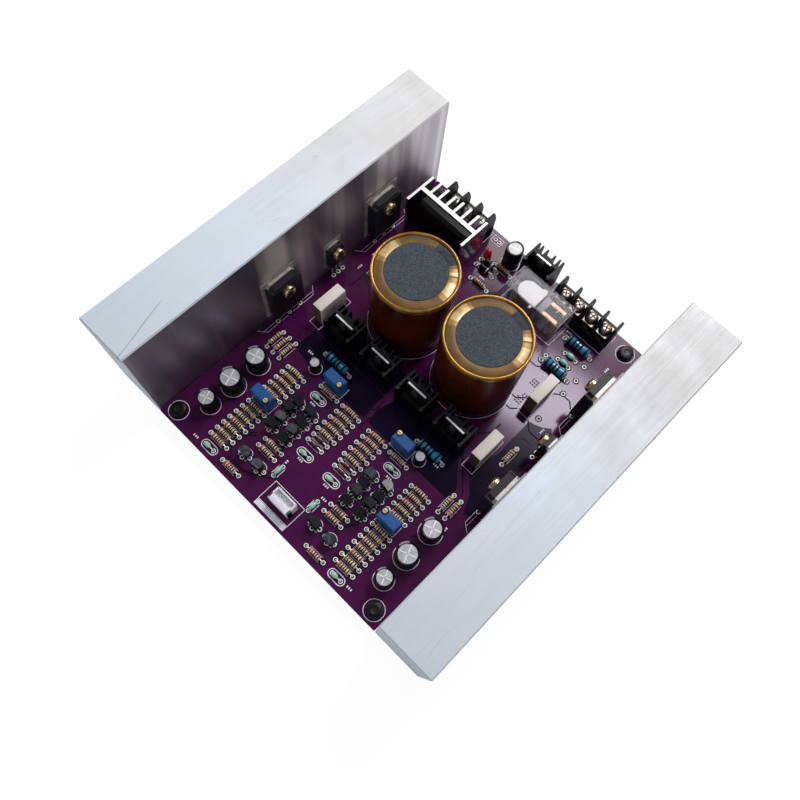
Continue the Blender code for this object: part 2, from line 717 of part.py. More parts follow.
def bar_transistor(spec):
    """Transistor, insulating sheet and screw of a bar: back face at y = 0, face to -Y."""
    tab_back = -INSULATOR_THICKNESS / 2
    back = tab_back - POWER_OVERLAP
    corner = spec["corner"]
    body = upright_plate(spec["width"], spec["bottom"], spec["top"], corner, spec["depth"], back)
    tab_width = spec["width"] - 2 * spec["tab_inset"]
    tab_bottom = spec["bottom"] + spec["tab_inset"]
    tab = upright_plate(tab_width, tab_bottom, spec["tab_top"], corner, spec["tab_depth"], tab_back)
    width, low, high = spec["sheet"]
    sheet = box((width, INSULATOR_THICKNESS, high - low), (0.0, tab_back, (low + high) / 2))
    front = back - spec["depth"]
    height = spec["screw_height"]
    head = screw_head(front, height, POWER_SCREW_HEAD_RADIUS)
    start = front + spec["depth"] / 2
    reach = POWER_SCREW_REACH
    shank = drum(POWER_SCREW_RADIUS, reach - start, (0.0, (reach + start) / 2, height), 8, None, "Y")
    return joined(body, tab, sheet, head, shank, *transistor_legs(spec, back))


def tab_transistor(spec):
    """Transistor of a small heatsink: back face at y = 0, face to -Y, its screw on the bare tab."""
    front = -spec["depth"]
    tab_front = -spec["tab_depth"]
    outline = [
        (front, spec["bottom"]), (0.0, spec["bottom"]), (0.0, spec["tab_top"]),
        (tab_front, spec["tab_top"]), (tab_front, spec["top"]), (front, spec["top"]),
    ]
    body = plate(outline, spec["width"], -spec["width"] / 2)
    body.transform(Matrix.Rotation(math.pi / 2, 4, "Z") @ Matrix.Rotation(math.pi / 2, 4, "X"))
    head = screw_head(tab_front, spec["screw_height"], TAB_SCREW_HEAD_RADIUS)
    return joined(body, head, *transistor_legs(spec, 0.0))


def build_bar_transistors():
    """Output and bias transistors screwed to the inner faces of the bars."""
    output = bar_transistor(OUTPUT_TRANSISTOR)
    bias = bar_transistor(BIAS_TRANSISTOR)
    for name, side in (("left", -1), ("right", 1)):
        x = side * (BAR_FACE - FIT)
        turn = -side * math.pi / 2
        for row_name, row in zip(("front", "back"), OUTPUT_TRANSISTOR_ROWS):
            place("output_transistor_" + name + "_" + row_name, output, EPOXY, (x, row, BOARD_TOP), turn)
        place("bias_transistor_" + name, bias, EPOXY, (x, BIAS_TRANSISTOR_ROW, BOARD_TOP), turn)


def sink_outline(width, front, back, wall, plate_depth, fin_places, fin_wall, nub, boss):
    """Outline of an extruded heatsink seen from above, its plate's front face on y = 0."""
    half = width / 2
    outline = [(-half, -front), (-half, back), (wall - half, back), (wall - half, plate_depth)]
    for number, x in enumerate(fin_places):
        root = plate_depth
        tip = [(x - fin_wall / 2, root), (x - fin_wall / 2, back), (x + fin_wall / 2, back)]
        outline += tip
        middle = len(fin_places) // 2 - 1
        if boss > 0 and number == middle:
            outline.append((x + fin_wall / 2, boss))
            next_x = fin_places[number + 1]
            outline.append((next_x - fin_wall / 2, boss))
            outline.append((next_x - fin_wall / 2, back))
            outline.append((next_x + fin_wall / 2, back))
            outline.append((next_x + fin_wall / 2, root))
        elif boss > 0 and number == middle + 1:
            del outline[-3:]
        else:
            outline.append((x + fin_wall / 2, root))
    outline += [(half - wall, plate_depth), (half - wall, back), (half, back), (half, -front)]
    if nub > 0:
        outline += [(half - nub, -front), (half - nub, nub - front), (half - wall, nub - front)]
    else:
        outline.append((half - wall, -front))
    outline += [(half - wall, 0.0), (wall - half, 0.0)]
    if nub > 0:
        outline += [(wall - half, nub - front), (nub - half, nub - front), (nub - half, -front)]
    else:
        outline.append((wall - half, -front))
    return outline


def small_sink():
    """Black finned heatsink with two front wings and a thick middle behind the screw."""
    fins = [share * SMALL_SINK_WIDTH for share in SMALL_SINK_FIN_SHARES]
    outline = sink_outline(
        SMALL_SINK_WIDTH, SMALL_SINK_FRONT, SMALL_SINK_BACK, SMALL_SINK_WALL, SMALL_SINK_PLATE, fins,
        SMALL_SINK_FIN, SMALL_SINK_NUB, SMALL_SINK_BOSS,
    )
    return plate(outline, SMALL_SINK_HEIGHT, FIT)


def build_drivers_and_regulator():
    """Four driver transistors and the regulator, each on the same small heatsink."""
    sink = small_sink()
    transistor = tab_transistor(TAB_TRANSISTOR)
    places = []
    for number in range(4):
        x = DRIVER_AXIS + (number - 1.5) * DRIVER_PITCH
        label = str(number + 1)
        places.append(("driver_heatsink_" + label, "driver_transistor_" + label, x, DRIVER_PLATE_Y))
    places.append(("regulator_heatsink", "regulator", *REGULATOR_PLACE))
    for sink_name, transistor_name, x, y in places:
        place(sink_name, sink, BLACK_ANODISED, (x, y, BOARD_TOP))
        place(transistor_name, transistor, EPOXY, (x, y - FIT, BOARD_TOP))


def build_rectifier():
    """Bridge rectifier standing against its own bright heatsink."""
    x, y = RECTIFIER_SINK_PLACE
    middle = (RECTIFIER_SINK_FINS - 1) / 2
    fins = [(number - middle) * RECTIFIER_SINK_FIN_PITCH for number in range(RECTIFIER_SINK_FINS)]
    outline = sink_outline(
        RECTIFIER_SINK_WIDTH, RECTIFIER_SINK_FRONT, RECTIFIER_SINK_BACK, RECTIFIER_SINK_WALL,
        RECTIFIER_SINK_PLATE, fins, RECTIFIER_SINK_WALL, 0.0, 0.0,
    )
    place("rectifier_heatsink", plate(outline, RECTIFIER_SINK_HEIGHT, FIT), ALUMINIUM, (x, y, BOARD_TOP))
    width, depth, height = BRIDGE_SIZE
    inset, drop = BRIDGE_CHAMFER
    outline = [(-depth, 0.0), (0.0, 0.0), (0.0, height), (inset - depth, height), (-depth, height - drop)]
    mesh = plate(outline, width, -width / 2)
    stand = Matrix.Rotation(math.pi / 2, 4, "Z") @ Matrix.Rotation(math.pi / 2, 4, "X")
    mesh.transform(stand)
    place("bridge_rectifier", mesh, EPOXY, (BRIDGE_X, y - FIT, SEAT))


def build_capacitors():
    """Reservoir, electrolytic and relay supply capacitors."""
    reservoir = capacitor(RESERVOIR_RADIUS, RESERVOIR_HEIGHT, 24, RESERVOIR_LIP, GOLD_SLEEVE)
    centre_x, centre_y = RESERVOIR_CENTRE
    for name, side in (("left", -1), ("right", 1)):
        x = centre_x + side * RESERVOIR_SPACING / 2
        place("reservoir_capacitor_" + name, reservoir, GOLD_SLEEVE, (x, centre_y, SEAT))
    for row_name, (y, radius) in ELECTROLYTICS.items():
        can = capacitor(radius, ELECTROLYTIC_HEIGHT, 12, ELECTROLYTIC_LIP, BLACK_SLEEVE)
        for name, side in (("left", -1), ("right", 1)):
            x = CHANNEL_AXIS + side * ELECTROLYTIC_OFFSET
            place("electrolytic_" + name + "_" + row_name, can, BLACK_SLEEVE, (x, y, SEAT))
    supply = capacitor(
        SUPPLY_CAPACITOR_RADIUS, SUPPLY_CAPACITOR_HEIGHT, 12, ELECTROLYTIC_LIP, BLACK_SLEEVE
    )
    place("relay_supply_capacitor", supply, BLACK_SLEEVE, (*SUPPLY_CAPACITOR_PLACE, SEAT))


def build_emitter_resistors():
    """White ceramic resistors between the drivers and the output transistors."""
    height = EMITTER_RESISTOR_SIZE[2]
    for name, side in (("left", -1), ("right", 1)):
        for row_name, y in zip(("front", "back"), EMITTER_RESISTOR_ROWS):
            mesh = box(EMITTER_RESISTOR_SIZE, (0.0, 0.0, height / 2), None, EMITTER_RESISTOR_EDGE)
            x = DRIVER_AXIS + side * EMITTER_RESISTOR_OFFSET
            place("emitter_resistor_" + name + "_" + row_name, mesh, CERAMIC, (x, y, SEAT))


def build_trimmers():
    """Blue trimmers, each with a brass adjusting screw in a pocket at one corner."""
    height = TRIMMER_SIZE[2]
    screw_x, screw_y = TRIMMER_SCREW_PLACE
    pocket_floor = height - TRIMMER_SCREW_DEPTH
    pocket_height = 2 * TRIMMER_SCREW_DEPTH
    pocket_centre = (screw_x, screw_y, pocket_floor + pocket_height / 2)
    body = box(TRIMMER_SIZE, (0.0, 0.0, height / 2))
    body = cut(body, drum(TRIMMER_SCREW_RADIUS + FIT, pocket_height, pocket_centre, 10))
    length = TRIMMER_SCREW_DEPTH + TRIMMER_SCREW_RISE - FIT
    screw = drum(TRIMMER_SCREW_RADIUS, length, (0.0, 0.0, length / 2), 10)
    slot_size = (4 * TRIMMER_SCREW_RADIUS, SLOT_WIDTH, 2 * TRIMMER_SCREW_RISE)
    screw = cut(screw, box(slot_size, (0.0, 0.0, length)))
    for name, (x, y, turn) in TRIMMER_PLACES.items():
        place("trimmer_" + name, body, TRIMMER_BLUE, (x, y, SEAT), turn)
        offset = Matrix.Rotation(turn, 4, "Z") @ Vector((screw_x, screw_y, 0.0))
        foot = SEAT + pocket_floor + FIT
        place("trimmer_screw_" + name, screw, BRASS, (x + offset.x, y + offset.y, foot), turn)


def rounded_left(radius, right):
    """Outline of a plate of the coil, its left end a half round about the coil's axis."""
    outline = [(right, -radius), (right, radius)]
    for step in range(9):
        angle = math.pi / 2 + step * math.pi / 8
        outline.append((COIL_X + radius * math.cos(angle), radius * math.sin(angle)))
    return outline


def relay_base():
    """Relay base with its coil, the bobbin's pale top plate, the yoke and the fixed contacts."""
    gap = RELAY_WALL + FIT
    length = RELAY_SIZE[0] - 2 * gap
    width = RELAY_SIZE[1] - 2 * gap
    base = box((length, width, RELAY_BASE_HEIGHT), (0.0, 0.0, FIT + RELAY_BASE_HEIGHT / 2), BLACK_PLASTIC)
    plate_radius = width / 2 - COIL_CLEARANCE
    coil_radius = plate_radius - BOBBIN_PLATE_OVERHANG
    winding = plate(rounded_left(coil_radius, COIL_RIGHT), COIL_HEIGHT, FIT + RELAY_OVERLAP, COPPER)
    plate_outline = rounded_left(plate_radius, COIL_RIGHT + BOBBIN_PLATE_OVERHANG)
    top_plate = plate(plate_outline, BOBBIN_PLATE_THICKNESS, FIT + COIL_HEIGHT, WHITE_PLASTIC)
    yoke_top = RELAY_HINGE_Z - FIT
    yoke_height = yoke_top - RELAY_OVERLAP
    yoke_centre = (RELAY_HINGE_X, 0.0, yoke_top - yoke_height / 2)
    yoke = box((YOKE_THICKNESS, YOKE_WIDTH, yoke_height), yoke_centre, NICKEL)
    pieces = [winding, top_plate, yoke]
    post_top = RELAY_HINGE_Z - CONTACT_GAP
    post_height = post_top - RELAY_OVERLAP
    post_x = RELAY_SIZE[0] / 2 - CONTACT_INSET
    for side in (-1, 1):
        centre = (post_x, side * CONTACT_SIDE, post_top - post_height / 2)
        pieces.append(box((*CONTACT_POST_SIZE, post_height), centre, SPRING_COPPER))
    return joined(base, *pieces)


def relay_armature():
    """Armature plate with two contact springs, its hinge line along Y through its origin."""
    plate_part = box(ARMATURE_SIZE, (ARMATURE_X, 0.0, ARMATURE_SIZE[2] / 2), NICKEL)
    pieces = []
    reach = RELAY_SIZE[0] / 2 - SPRING_END_INSET - RELAY_HINGE_X
    for side in (-1, 1):
        centre = ((reach + SPRING_START) / 2, side * CONTACT_SIDE, SPRING_THICKNESS)
        pieces.append(box((reach - SPRING_START, SPRING_WIDTH, SPRING_THICKNESS), centre, SPRING_COPPER))
    return joined(plate_part, *pieces)


def relay_cover():
    """Clear five-sided cover, open below."""
    build = bmesh.new()
    bmesh.ops.create_cube(build, size=1.0)
    bmesh.ops.scale(build, vec=RELAY_SIZE, verts=build.verts)
    bmesh.ops.translate(build, vec=(0.0, 0.0, RELAY_SIZE[2] / 2), verts=build.verts)
    floor = [face for face in build.faces if face.normal.z < -0.5]
    bmesh.ops.delete(build, geom=floor, context="FACES_ONLY")
    mesh = mesh_from(build)
    item = bpy.data.objects.new("shell", mesh)
    bpy.context.scene.collection.objects.link(item)
    shell = item.modifiers.new("wall", "SOLIDIFY")
    shell.thickness = RELAY_WALL
    shell.offset = -1.0
    shell.use_even_offset = True
    return baked(item)


def build_relay():
    """Clear relay between the reservoir capacitors and the speaker terminals."""
    x, y = RELAY_PLACE
    place("relay_base", relay_base(), None, (x, y, BOARD_TOP))
    hinge = (x + RELAY_HINGE_X, y, BOARD_TOP + RELAY_HINGE_Z)
    place("relay_armature", relay_armature(), None, hinge)
    place("relay_cover", relay_cover(), CLEAR_COVER, (x, y, SEAT))


def terminal_outline():
    """Side outline of a barrier wall as y and z pairs, from the front of the block."""
    rise = TERMINAL_HEIGHT - TERMINAL_SHELF
    corners = []
    for depth_share, rise_share in TERMINAL_WALL_CORNERS:
        corners.append((TERMINAL_DEPTH * depth_share, TERMINAL_SHELF + rise * rise_share))
    front = corners[0][0]
    return [(front, 0.0), (TERMINAL_DEPTH, 0.0)] + corners[::-1]


def terminal_block(ways):
    """Barrier block: a stepped base, a wall on each side of every way and a plate in each way."""
    length = ways * TERMINAL_PITCH + TERMINAL_WALL
    base = box(
        (length - TERMINAL_OVERLAP, TERMINAL_DEPTH - TERMINAL_OVERLAP, TERMINAL_SHELF),
        (0.0, TERMINAL_DEPTH / 2, TERMINAL_SHELF / 2), BLACK_PLASTIC,
    )
    stand = Matrix.Rotation(math.pi / 2, 4, "Z") @ Matrix.Rotation(math.pi / 2, 4, "X")
    pieces = []
    for number in range(ways + 1):
        wall = plate(terminal_outline(), TERMINAL_WALL, -TERMINAL_WALL / 2, BLACK_PLASTIC)
        x = (number - ways / 2) * TERMINAL_PITCH
        wall.transform(Matrix.Translation((x, 0.0, 0.0)) @ stand)
        pieces.append(wall)
    plate_y = TERMINAL_SCREW_Y - TERMINAL_FRONT_Y
    plate_width = TERMINAL_PITCH - TERMINAL_WALL - 2 * TERMINAL_PLATE_MARGIN
    size = (plate_width, TERMINAL_PLATE_LENGTH, TERMINAL_PLATE_THICKNESS + TERMINAL_OVERLAP)
    for number in range(ways):
        x = (number - (ways - 1) / 2) * TERMINAL_PITCH
        centre = (x, plate_y, TERMINAL_SHELF + (TERMINAL_PLATE_THICKNESS - TERMINAL_OVERLAP) / 2)
        pieces.append(box(size, centre, NICKEL))
    return joined(base, *pieces)


def terminal_screw():
    """Pan screw of a terminal, cross slotted, its axis on its origin."""
    head = drum(
        TERMINAL_SCREW_RADIUS, TERMINAL_SCREW_HEIGHT, (0.0, 0.0, TERMINAL_SCREW_HEIGHT / 2), 10,
        end_radius=TERMINAL_SCREW_RADIUS * TERMINAL_SCREW_TAPER,
    )
    size = (4 * TERMINAL_SCREW_RADIUS, TERMINAL_SLOT_WIDTH, TERMINAL_SCREW_HEIGHT)
    return cut(head, box(size, (0.0, 0.0, TERMINAL_SCREW_HEIGHT)))


def build_terminals():
    """Power and speaker terminal blocks with their screws."""
    screw = terminal_screw()
    screw_z = SEAT + TERMINAL_SHELF + TERMINAL_PLATE_THICKNESS + FIT
    for name, (x, ways) in TERMINAL_PLACES.items():
        place(name + "_terminal_block", terminal_block(ways), None, (x, TERMINAL_FRONT_Y, SEAT))
        for number in range(ways):
            screw_x = x + (number - (ways - 1) / 2) * TERMINAL_PITCH
            label = name + "_terminal_screw_" + str(number + 1)
            place(label, screw, NICKEL, (screw_x, TERMINAL_SCREW_Y, screw_z))


def build_input_connector():
    """White three pin header, with a pocket behind a thick front ledge."""
    length, width, height = CONNECTOR_SIZE
    body = box(CONNECTOR_SIZE, (0.0, 0.0, height / 2), WHITE_PLASTIC)
    pocket_width = width - CONNECTOR_LEDGE - CONNECTOR_WALL
    pocket_y = (width / 2 - CONNECTOR_WALL) - pocket_width / 2
    pocket_size = (length - 2 * CONNECTOR_WALL, pocket_width, 2 * CONNECTOR_POCKET_DEPTH)
    pocket = box(pocket_size, (0.0, pocket_y, height), WHITE_PLASTIC)
    place("input_connector", cut(body, pocket), None, (*CONNECTOR_PLACE, SEAT))


def build_lamp():
    """Small round indicator lamp with its flange."""
    across, down = LAMP_SHOULDER
    foot = LAMP_RADIUS + LAMP_FLANGE
    profile = [
        (0.0, LAMP_HEIGHT), (LAMP_RADIUS * across, LAMP_HEIGHT - LAMP_RADIUS * down),
        (LAMP_RADIUS, LAMP_HEIGHT - LAMP_RADIUS), (LAMP_RADIUS, 3 * LAMP_FLANGE),
        (foot, 2 * LAMP_FLANGE), (foot, 0.0), (0.0, 0.0),
    ]
    place("indicator_lamp", turned(profile, 10), LAMP_RED, (*LAMP_PLACE, SEAT))


def build_model():
    """Build every sub-part of the amplifier board."""
    build_circuit_board()
    build_standoffs()
    build_bars()
    build_bar_transistors()
    build_drivers_and_regulator()
    build_rectifier()
    build_capacitors()
    build_emitter_resistors()
    build_trimmers()
    build_relay()
    build_terminals()
    build_input_connector()
    build_lamp()


build_model()
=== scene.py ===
# %% [markdown]
# An audio amplifier board seen from above: a purple circuit board between two solid aluminium bars.
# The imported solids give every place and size. This lesson dresses them: real finishes, printed
# marks, soldered leads and the fine forms that a step away would miss.

# %% Load the frame
import math
import random

import bmesh
import bpy
from mathutils import Matrix, Vector


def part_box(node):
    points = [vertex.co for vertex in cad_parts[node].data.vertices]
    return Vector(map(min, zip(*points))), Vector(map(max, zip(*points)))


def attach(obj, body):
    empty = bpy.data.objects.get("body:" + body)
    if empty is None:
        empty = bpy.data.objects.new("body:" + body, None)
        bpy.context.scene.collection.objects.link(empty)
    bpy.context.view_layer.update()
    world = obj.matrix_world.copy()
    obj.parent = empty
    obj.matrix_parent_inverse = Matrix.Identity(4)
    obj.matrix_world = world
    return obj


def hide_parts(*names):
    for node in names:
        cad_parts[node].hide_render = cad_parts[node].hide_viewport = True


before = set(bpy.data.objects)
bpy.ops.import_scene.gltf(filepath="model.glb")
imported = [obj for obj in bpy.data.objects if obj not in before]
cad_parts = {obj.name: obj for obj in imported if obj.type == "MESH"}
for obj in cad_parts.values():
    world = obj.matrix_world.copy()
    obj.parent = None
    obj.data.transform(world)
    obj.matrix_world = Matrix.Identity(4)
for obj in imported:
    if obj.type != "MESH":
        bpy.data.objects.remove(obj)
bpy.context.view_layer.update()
MM = 0.001
BOARD_TOP = 0.0076
random.seed(7)
print("solids loaded:", len(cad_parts))

# %% [markdown]
# Every finish starts from an sRGB hex value, as a paint chart gives it. Blender mixes light in
# linear values, so one function converts them. A second function adds a node with its settings
# and links, so a finish reads as a short list of nodes.

# %% Colour and node helpers
def linear(code):
    """Linear red, green, blue and alpha of an sRGB hex code."""
    values = [int(code[place:place + 2], 16) / 255 for place in (1, 3, 5)]
    return [v / 12.92 if v <= 0.04045 else ((v + 0.055) / 1.055) ** 2.4 for v in values] + [1.0]


def add_node(tree, kind, settings=None, links=None):
    """Add one shader node, set its options and sockets, and link its inputs."""
    node = tree.nodes.new("ShaderNode" + kind)
    for name, value in (settings or {}).items():
        if isinstance(name, str) and hasattr(node, name):
            setattr(node, name, value)
        else:
            node.inputs[name].default_value = value
    for name, source in (links or {}).items():
        tree.links.new(source, node.inputs[name])
    return node


def new_finish(name, code, roughness, metallic=0.0, settings=None):
    """Principled finish with a plain colour. Returns the material, its tree and its shader."""
    made = bpy.data.materials.new(name)
    made.use_nodes = True
    tree = made.node_tree
    shader = tree.nodes["Principled BSDF"]
    shader.inputs["Base Color"].default_value = linear(code)
    shader.inputs["Roughness"].default_value = roughness
    shader.inputs["Metallic"].default_value = metallic
    for socket, value in (settings or {}).items():
        shader.inputs[socket].default_value = value
    made.diffuse_color = linear(code)
    return made, tree, shader


def add_grain(tree, shader, codes, size, stretch=(1, 1, 1), bump=0.0, rough=None, detail=3.0):
    """Mottle a finish between two colours on a real size in millimetres, and roughen its surface."""
    where = add_node(tree, "TexCoord")
    scaled = add_node(tree, "Mapping", {"Scale": stretch}, {"Vector": where.outputs["Object"]})
    noise = add_node(
        tree, "TexNoise", {"Scale": 1000 / size, "Detail": detail}, {"Vector": scaled.outputs["Vector"]}
    )
    spread = add_node(tree, "MapRange", {"From Min": 0.3, "From Max": 0.7}, {"Value": noise.outputs["Fac"]})
    mixed = add_node(tree, "Mix", {"data_type": "RGBA"}, {"Factor": spread.outputs["Result"]})
    mixed.inputs[6].default_value = linear(codes[0])
    mixed.inputs[7].default_value = linear(codes[1])
    tree.links.new(mixed.outputs[2], shader.inputs["Base Color"])
    if rough:
        levels = add_node(
            tree, "MapRange", {"To Min": rough[0], "To Max": rough[1]}, {"Value": noise.outputs["Fac"]}
        )
        tree.links.new(levels.outputs["Result"], shader.inputs["Roughness"])
    if bump:
        raised = add_node(
            tree, "Bump", {"Strength": 1.0, "Distance": bump * MM}, {"Height": noise.outputs["Fac"]}
        )
        tree.links.new(raised.outputs["Normal"], shader.inputs["Normal"])


print("helpers ready")

# %% [markdown]
# Camera. The photograph was taken from above and in front, with the board turned about a third of
# a right angle. Its place came from solving the photograph's perspective on the board's straight
# edges, so the camera is written as a matrix. A view shift keeps the frame, and the lens stays plain.

# %% Place the camera
CAMERA_ROWS = ((0.7096, 0.7026, 0.0527), (0.6858, -0.6715, -0.2809), (-0.1619, 0.2355, -0.9583))
CAMERA_PLACE = (0.06444, -0.09332, 0.2516 + BOARD_TOP)
lens = bpy.data.cameras.new("photo_camera")
# The picture is 800 pixels wide. The focal length is 640 pixels, and the optical axis meets the
# picture 6 pixels left of its middle and 66 pixels below it
lens.sensor_width = 36
lens.lens = 28.8
lens.shift_x = 0.0075
lens.shift_y = 0.0825
lens.clip_start = 0.01
camera = bpy.data.objects.new("photo_camera", lens)
right, down, forward = (Vector(row) for row in CAMERA_ROWS)
turn = Matrix((right, -down, -forward)).transposed().to_4x4()
camera.matrix_world = Matrix.Translation(CAMERA_PLACE) @ turn
bpy.context.scene.collection.objects.link(camera)
bpy.context.scene.camera = camera
print("camera height above the board in mm:", round((CAMERA_PLACE[2] - BOARD_TOP) / MM, 1))

# %% [markdown]
# Light and floor. A pale floor carries a soft shadow, and a plain pale world fills the shadows. One
# broad panel hangs behind and above the board: its mirror image in the glossy solder mask gives
# the lavender sheen on the right half, and the bars pick it up along their tops.

# %% Light the scene
scene = bpy.context.scene
scene.view_settings.view_transform = "Standard"
world = bpy.data.worlds.new("studio")
scene.world = world
world.use_nodes = True
sky = world.node_tree
sky.nodes.clear()
rays = add_node(sky, "LightPath")
fill = add_node(sky, "Background", {"Color": linear("#DDE3EA"), "Strength": 0.30})
white = add_node(sky, "Background", {"Color": (1, 1, 1, 1), "Strength": 1.0})
chosen = add_node(
    sky, "MixShader", None, {0: rays.outputs["Is Camera Ray"], 1: fill.outputs[0], 2: white.outputs[0]}
)
add_node(sky, "OutputWorld", None, {"Surface": chosen.outputs[0]})


def add_panel(name, place, aim, size, power, colour="#FFFFFF"):
    """Soft light panel that looks at a point."""
    light = bpy.data.lights.new(name, "AREA")
    light.shape = "RECTANGLE"
    light.size, light.size_y = size
    light.energy = power
    light.color = linear(colour)[:3]
    item = bpy.data.objects.new(name, light)
    item.location = place
    item.rotation_euler = (Vector(aim) - Vector(place)).to_track_quat("-Z", "Y").to_euler()
    scene.collection.objects.link(item)


# Big panels far away keep the shadows soft. Places are in metres and powers in watts
add_panel("back_key", (-0.15, 0.72, 0.68), (0.0, 0.0, 0.02), (0.4, 0.4), 4.7, "#FFFCF6")
add_panel("left_panel", (-0.75, 0.10, 0.65), (0.0, 0.0, 0.02), (0.5, 0.5), 1.9, "#F4F8FF")
add_panel("front_panel", (0.50, -0.70, 0.50), (0.0, 0.0, 0.0), (0.5, 0.4), 1.2, "#F8FAFF")
add_panel("sheen_panel", (-0.006, 0.358, 0.634), (0.045, 0.035, 0.0), (0.14, 0.11), 1.4, "#F6F0FF")

floor_mesh = bpy.data.meshes.new("studio_floor")
build = bmesh.new()
bmesh.ops.create_grid(build, x_segments=1, y_segments=1, size=3.0)
build.to_mesh(floor_mesh)
build.free()
floor = bpy.data.objects.new("studio_floor", floor_mesh)
scene.collection.objects.link(floor)
# Studio paper: matt white, so it shows nothing but the soft shadow
paper, tree, shader = new_finish("matt_white_paper", "#F4F4F4", 0.9)
seen = add_node(tree, "LightPath")
glow = add_node(tree, "Emission", {"Color": (1, 1, 1, 1), "Strength": 1.08})
share = add_node(tree, "Math", {"operation": "MULTIPLY", 1: 0.86}, {0: seen.outputs["Is Camera Ray"]})
blend = add_node(tree, "MixShader", None, {0: share.outputs[0], 1: shader.outputs[0], 2: glow.outputs[0]})
tree.links.new(blend.outputs[0], tree.nodes["Material Output"].inputs["Surface"])
floor_mesh.materials.append(paper)

# %% [markdown]
# Shapes. Small parts are built as meshes straight in code: turned profiles for anything round,
# extruded outlines for anything cut from a bar, chamfered blocks and swept wires. Each helper adds
# its shape to one growing mesh and marks it with a finish number, so one piece can hold several.

# %% Blocks and turned forms
def add_block(shape, size, centre, finish=0, edge=0.0, steps=2):
    """Block with rounded edges."""
    made = bmesh.ops.create_cube(shape, size=1.0)["verts"]
    bmesh.ops.scale(shape, vec=size, verts=made)
    bmesh.ops.translate(shape, vec=centre, verts=made)
    faces = {face for vert in made for face in vert.link_faces}
    for face in faces:
        face.material_index = finish
    if edge:
        edges = list(dict.fromkeys(side for vert in made for side in vert.link_edges))
        bmesh.ops.bevel(
            shape, geom=edges, offset=edge, segments=steps, affect="EDGES", profile=0.5, material=-1
        )


def add_turned(shape, profile, place=None, steps=24, marks=None):
    """Turned form about Z from (radius, height, finish) rows, closed at both ends."""
    place = place or Matrix.Identity(4)
    rings = []
    for radius, height, _ in profile:
        ring = []
        for step in range(steps):
            angle = 2 * math.pi * step / steps
            point = place @ Vector((radius * math.cos(angle), radius * math.sin(angle), height))
            ring.append(shape.verts.new(point))
        rings.append(ring)
    for row in range(len(rings) - 1):
        for step in range(steps):
            after = (step + 1) % steps
            lower, upper = rings[row], rings[row + 1]
            face = shape.faces.new((lower[step], lower[after], upper[after], upper[step]))
            face.material_index = profile[row + 1][2]
            if marks:
                low, high, first, last, finish = marks
                if low <= step / steps < high and first <= row < last:
                    face.material_index = finish
    for ring, row in ((rings[0], profile[0]), (rings[-1], profile[-1])):
        cap = shape.faces.new(ring)
        cap.material_index = row[2]


print("block and turned form ready")

# %% [markdown]
# A slab is an outline pulled up between two heights, as a heatsink comes off its die. A wire is a
# small ring of points carried along a path, which is how every lead and leg is made.

# %% Slabs and wires
def add_slab(shape, outline, low, high, finish=0, place=None, top_finish=None):
    """Extruded outline between two heights."""
    place = place or Matrix.Identity(4)
    bottom = [shape.verts.new(place @ Vector((x, y, low))) for x, y in outline]
    top = [shape.verts.new(place @ Vector((x, y, high))) for x, y in outline]
    count = len(outline)
    for step in range(count):
        after = (step + 1) % count
        side = shape.faces.new((bottom[step], bottom[after], top[after], top[step]))
        side.material_index = finish
    shape.faces.new(bottom[::-1]).material_index = finish
    shape.faces.new(top).material_index = finish if top_finish is None else top_finish


def add_wire(shape, points, radius, finish=0, sides=8, place=None):
    """Round wire swept through points, closed at both ends."""
    place = place or Matrix.Identity(4)
    points = [Vector(point) for point in points]
    rings = []
    for number, point in enumerate(points):
        before = points[max(number - 1, 0)]
        after = points[min(number + 1, len(points) - 1)]
        along = (after - before).normalized()
        side = along.cross(Vector((0, 1, 0))) if abs(along.y) < 0.9 else along.cross(Vector((1, 0, 0)))
        side.normalize()
        other = along.cross(side)
        ring = []
        for step in range(sides):
            angle = 2 * math.pi * step / sides
            offset = side * math.cos(angle) + other * math.sin(angle)
            ring.append(shape.verts.new(place @ (point + offset * radius)))
        rings.append(ring)
    for row in range(len(rings) - 1):
        for step in range(sides):
            after = (step + 1) % sides
            lower, upper = rings[row], rings[row + 1]
            face = shape.faces.new((lower[step], lower[after], upper[after], upper[step]))
            face.material_index = finish
    shape.faces.new(rings[0]).material_index = finish
    shape.faces.new(rings[-1]).material_index = finish


print("slab and wire ready")

# %% [markdown]
# A finished shape becomes mesh data, and mesh data becomes a piece that rides on a body of the
# frame. Where the same small part stands in many places, its mesh is copied into one piece, because
# one piece of many copies is quicker to draw than a hundred objects.

# %% Pieces and places
def to_mesh(shape, closed=True):
    """Finish a growing shape as mesh data, its faces turned outward."""
    if closed:
        bmesh.ops.recalc_face_normals(shape, faces=shape.faces)
    mesh = bpy.data.meshes.new("shape")
    shape.to_mesh(mesh)
    shape.free()
    return mesh


def show(name, mesh, finishes, body="board", instead_of=(), smooth=32):
    """Show a mesh as one piece that rides on a body, with its finishes."""
    for finish in finishes:
        mesh.materials.append(finish)
    mesh.shade_smooth()
    mesh.set_sharp_from_angle(angle=math.radians(smooth))
    mesh.name = name
    piece = bpy.data.objects.new(name, mesh)
    scene.collection.objects.link(piece)
    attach(piece, body)
    if instead_of:
        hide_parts(*instead_of)


def join(shape, other):
    """Close a shape and add it to a growing one."""
    mesh = to_mesh(other)
    shape.from_mesh(mesh)
    bpy.data.meshes.remove(mesh)


def spread(patterns):
    """Join placed copies: patterns is a list of (mesh, matrix)."""
    whole = bmesh.new()
    for mesh, matrix in patterns:
        copy = mesh.copy()
        copy.transform(matrix)
        whole.from_mesh(copy)
        bpy.data.meshes.remove(copy)
    return to_mesh(whole, closed=False)


def middle_of(low, high):
    """Middle of a box in plan."""
    return (low.x + high.x) / 2, (low.y + high.y) / 2


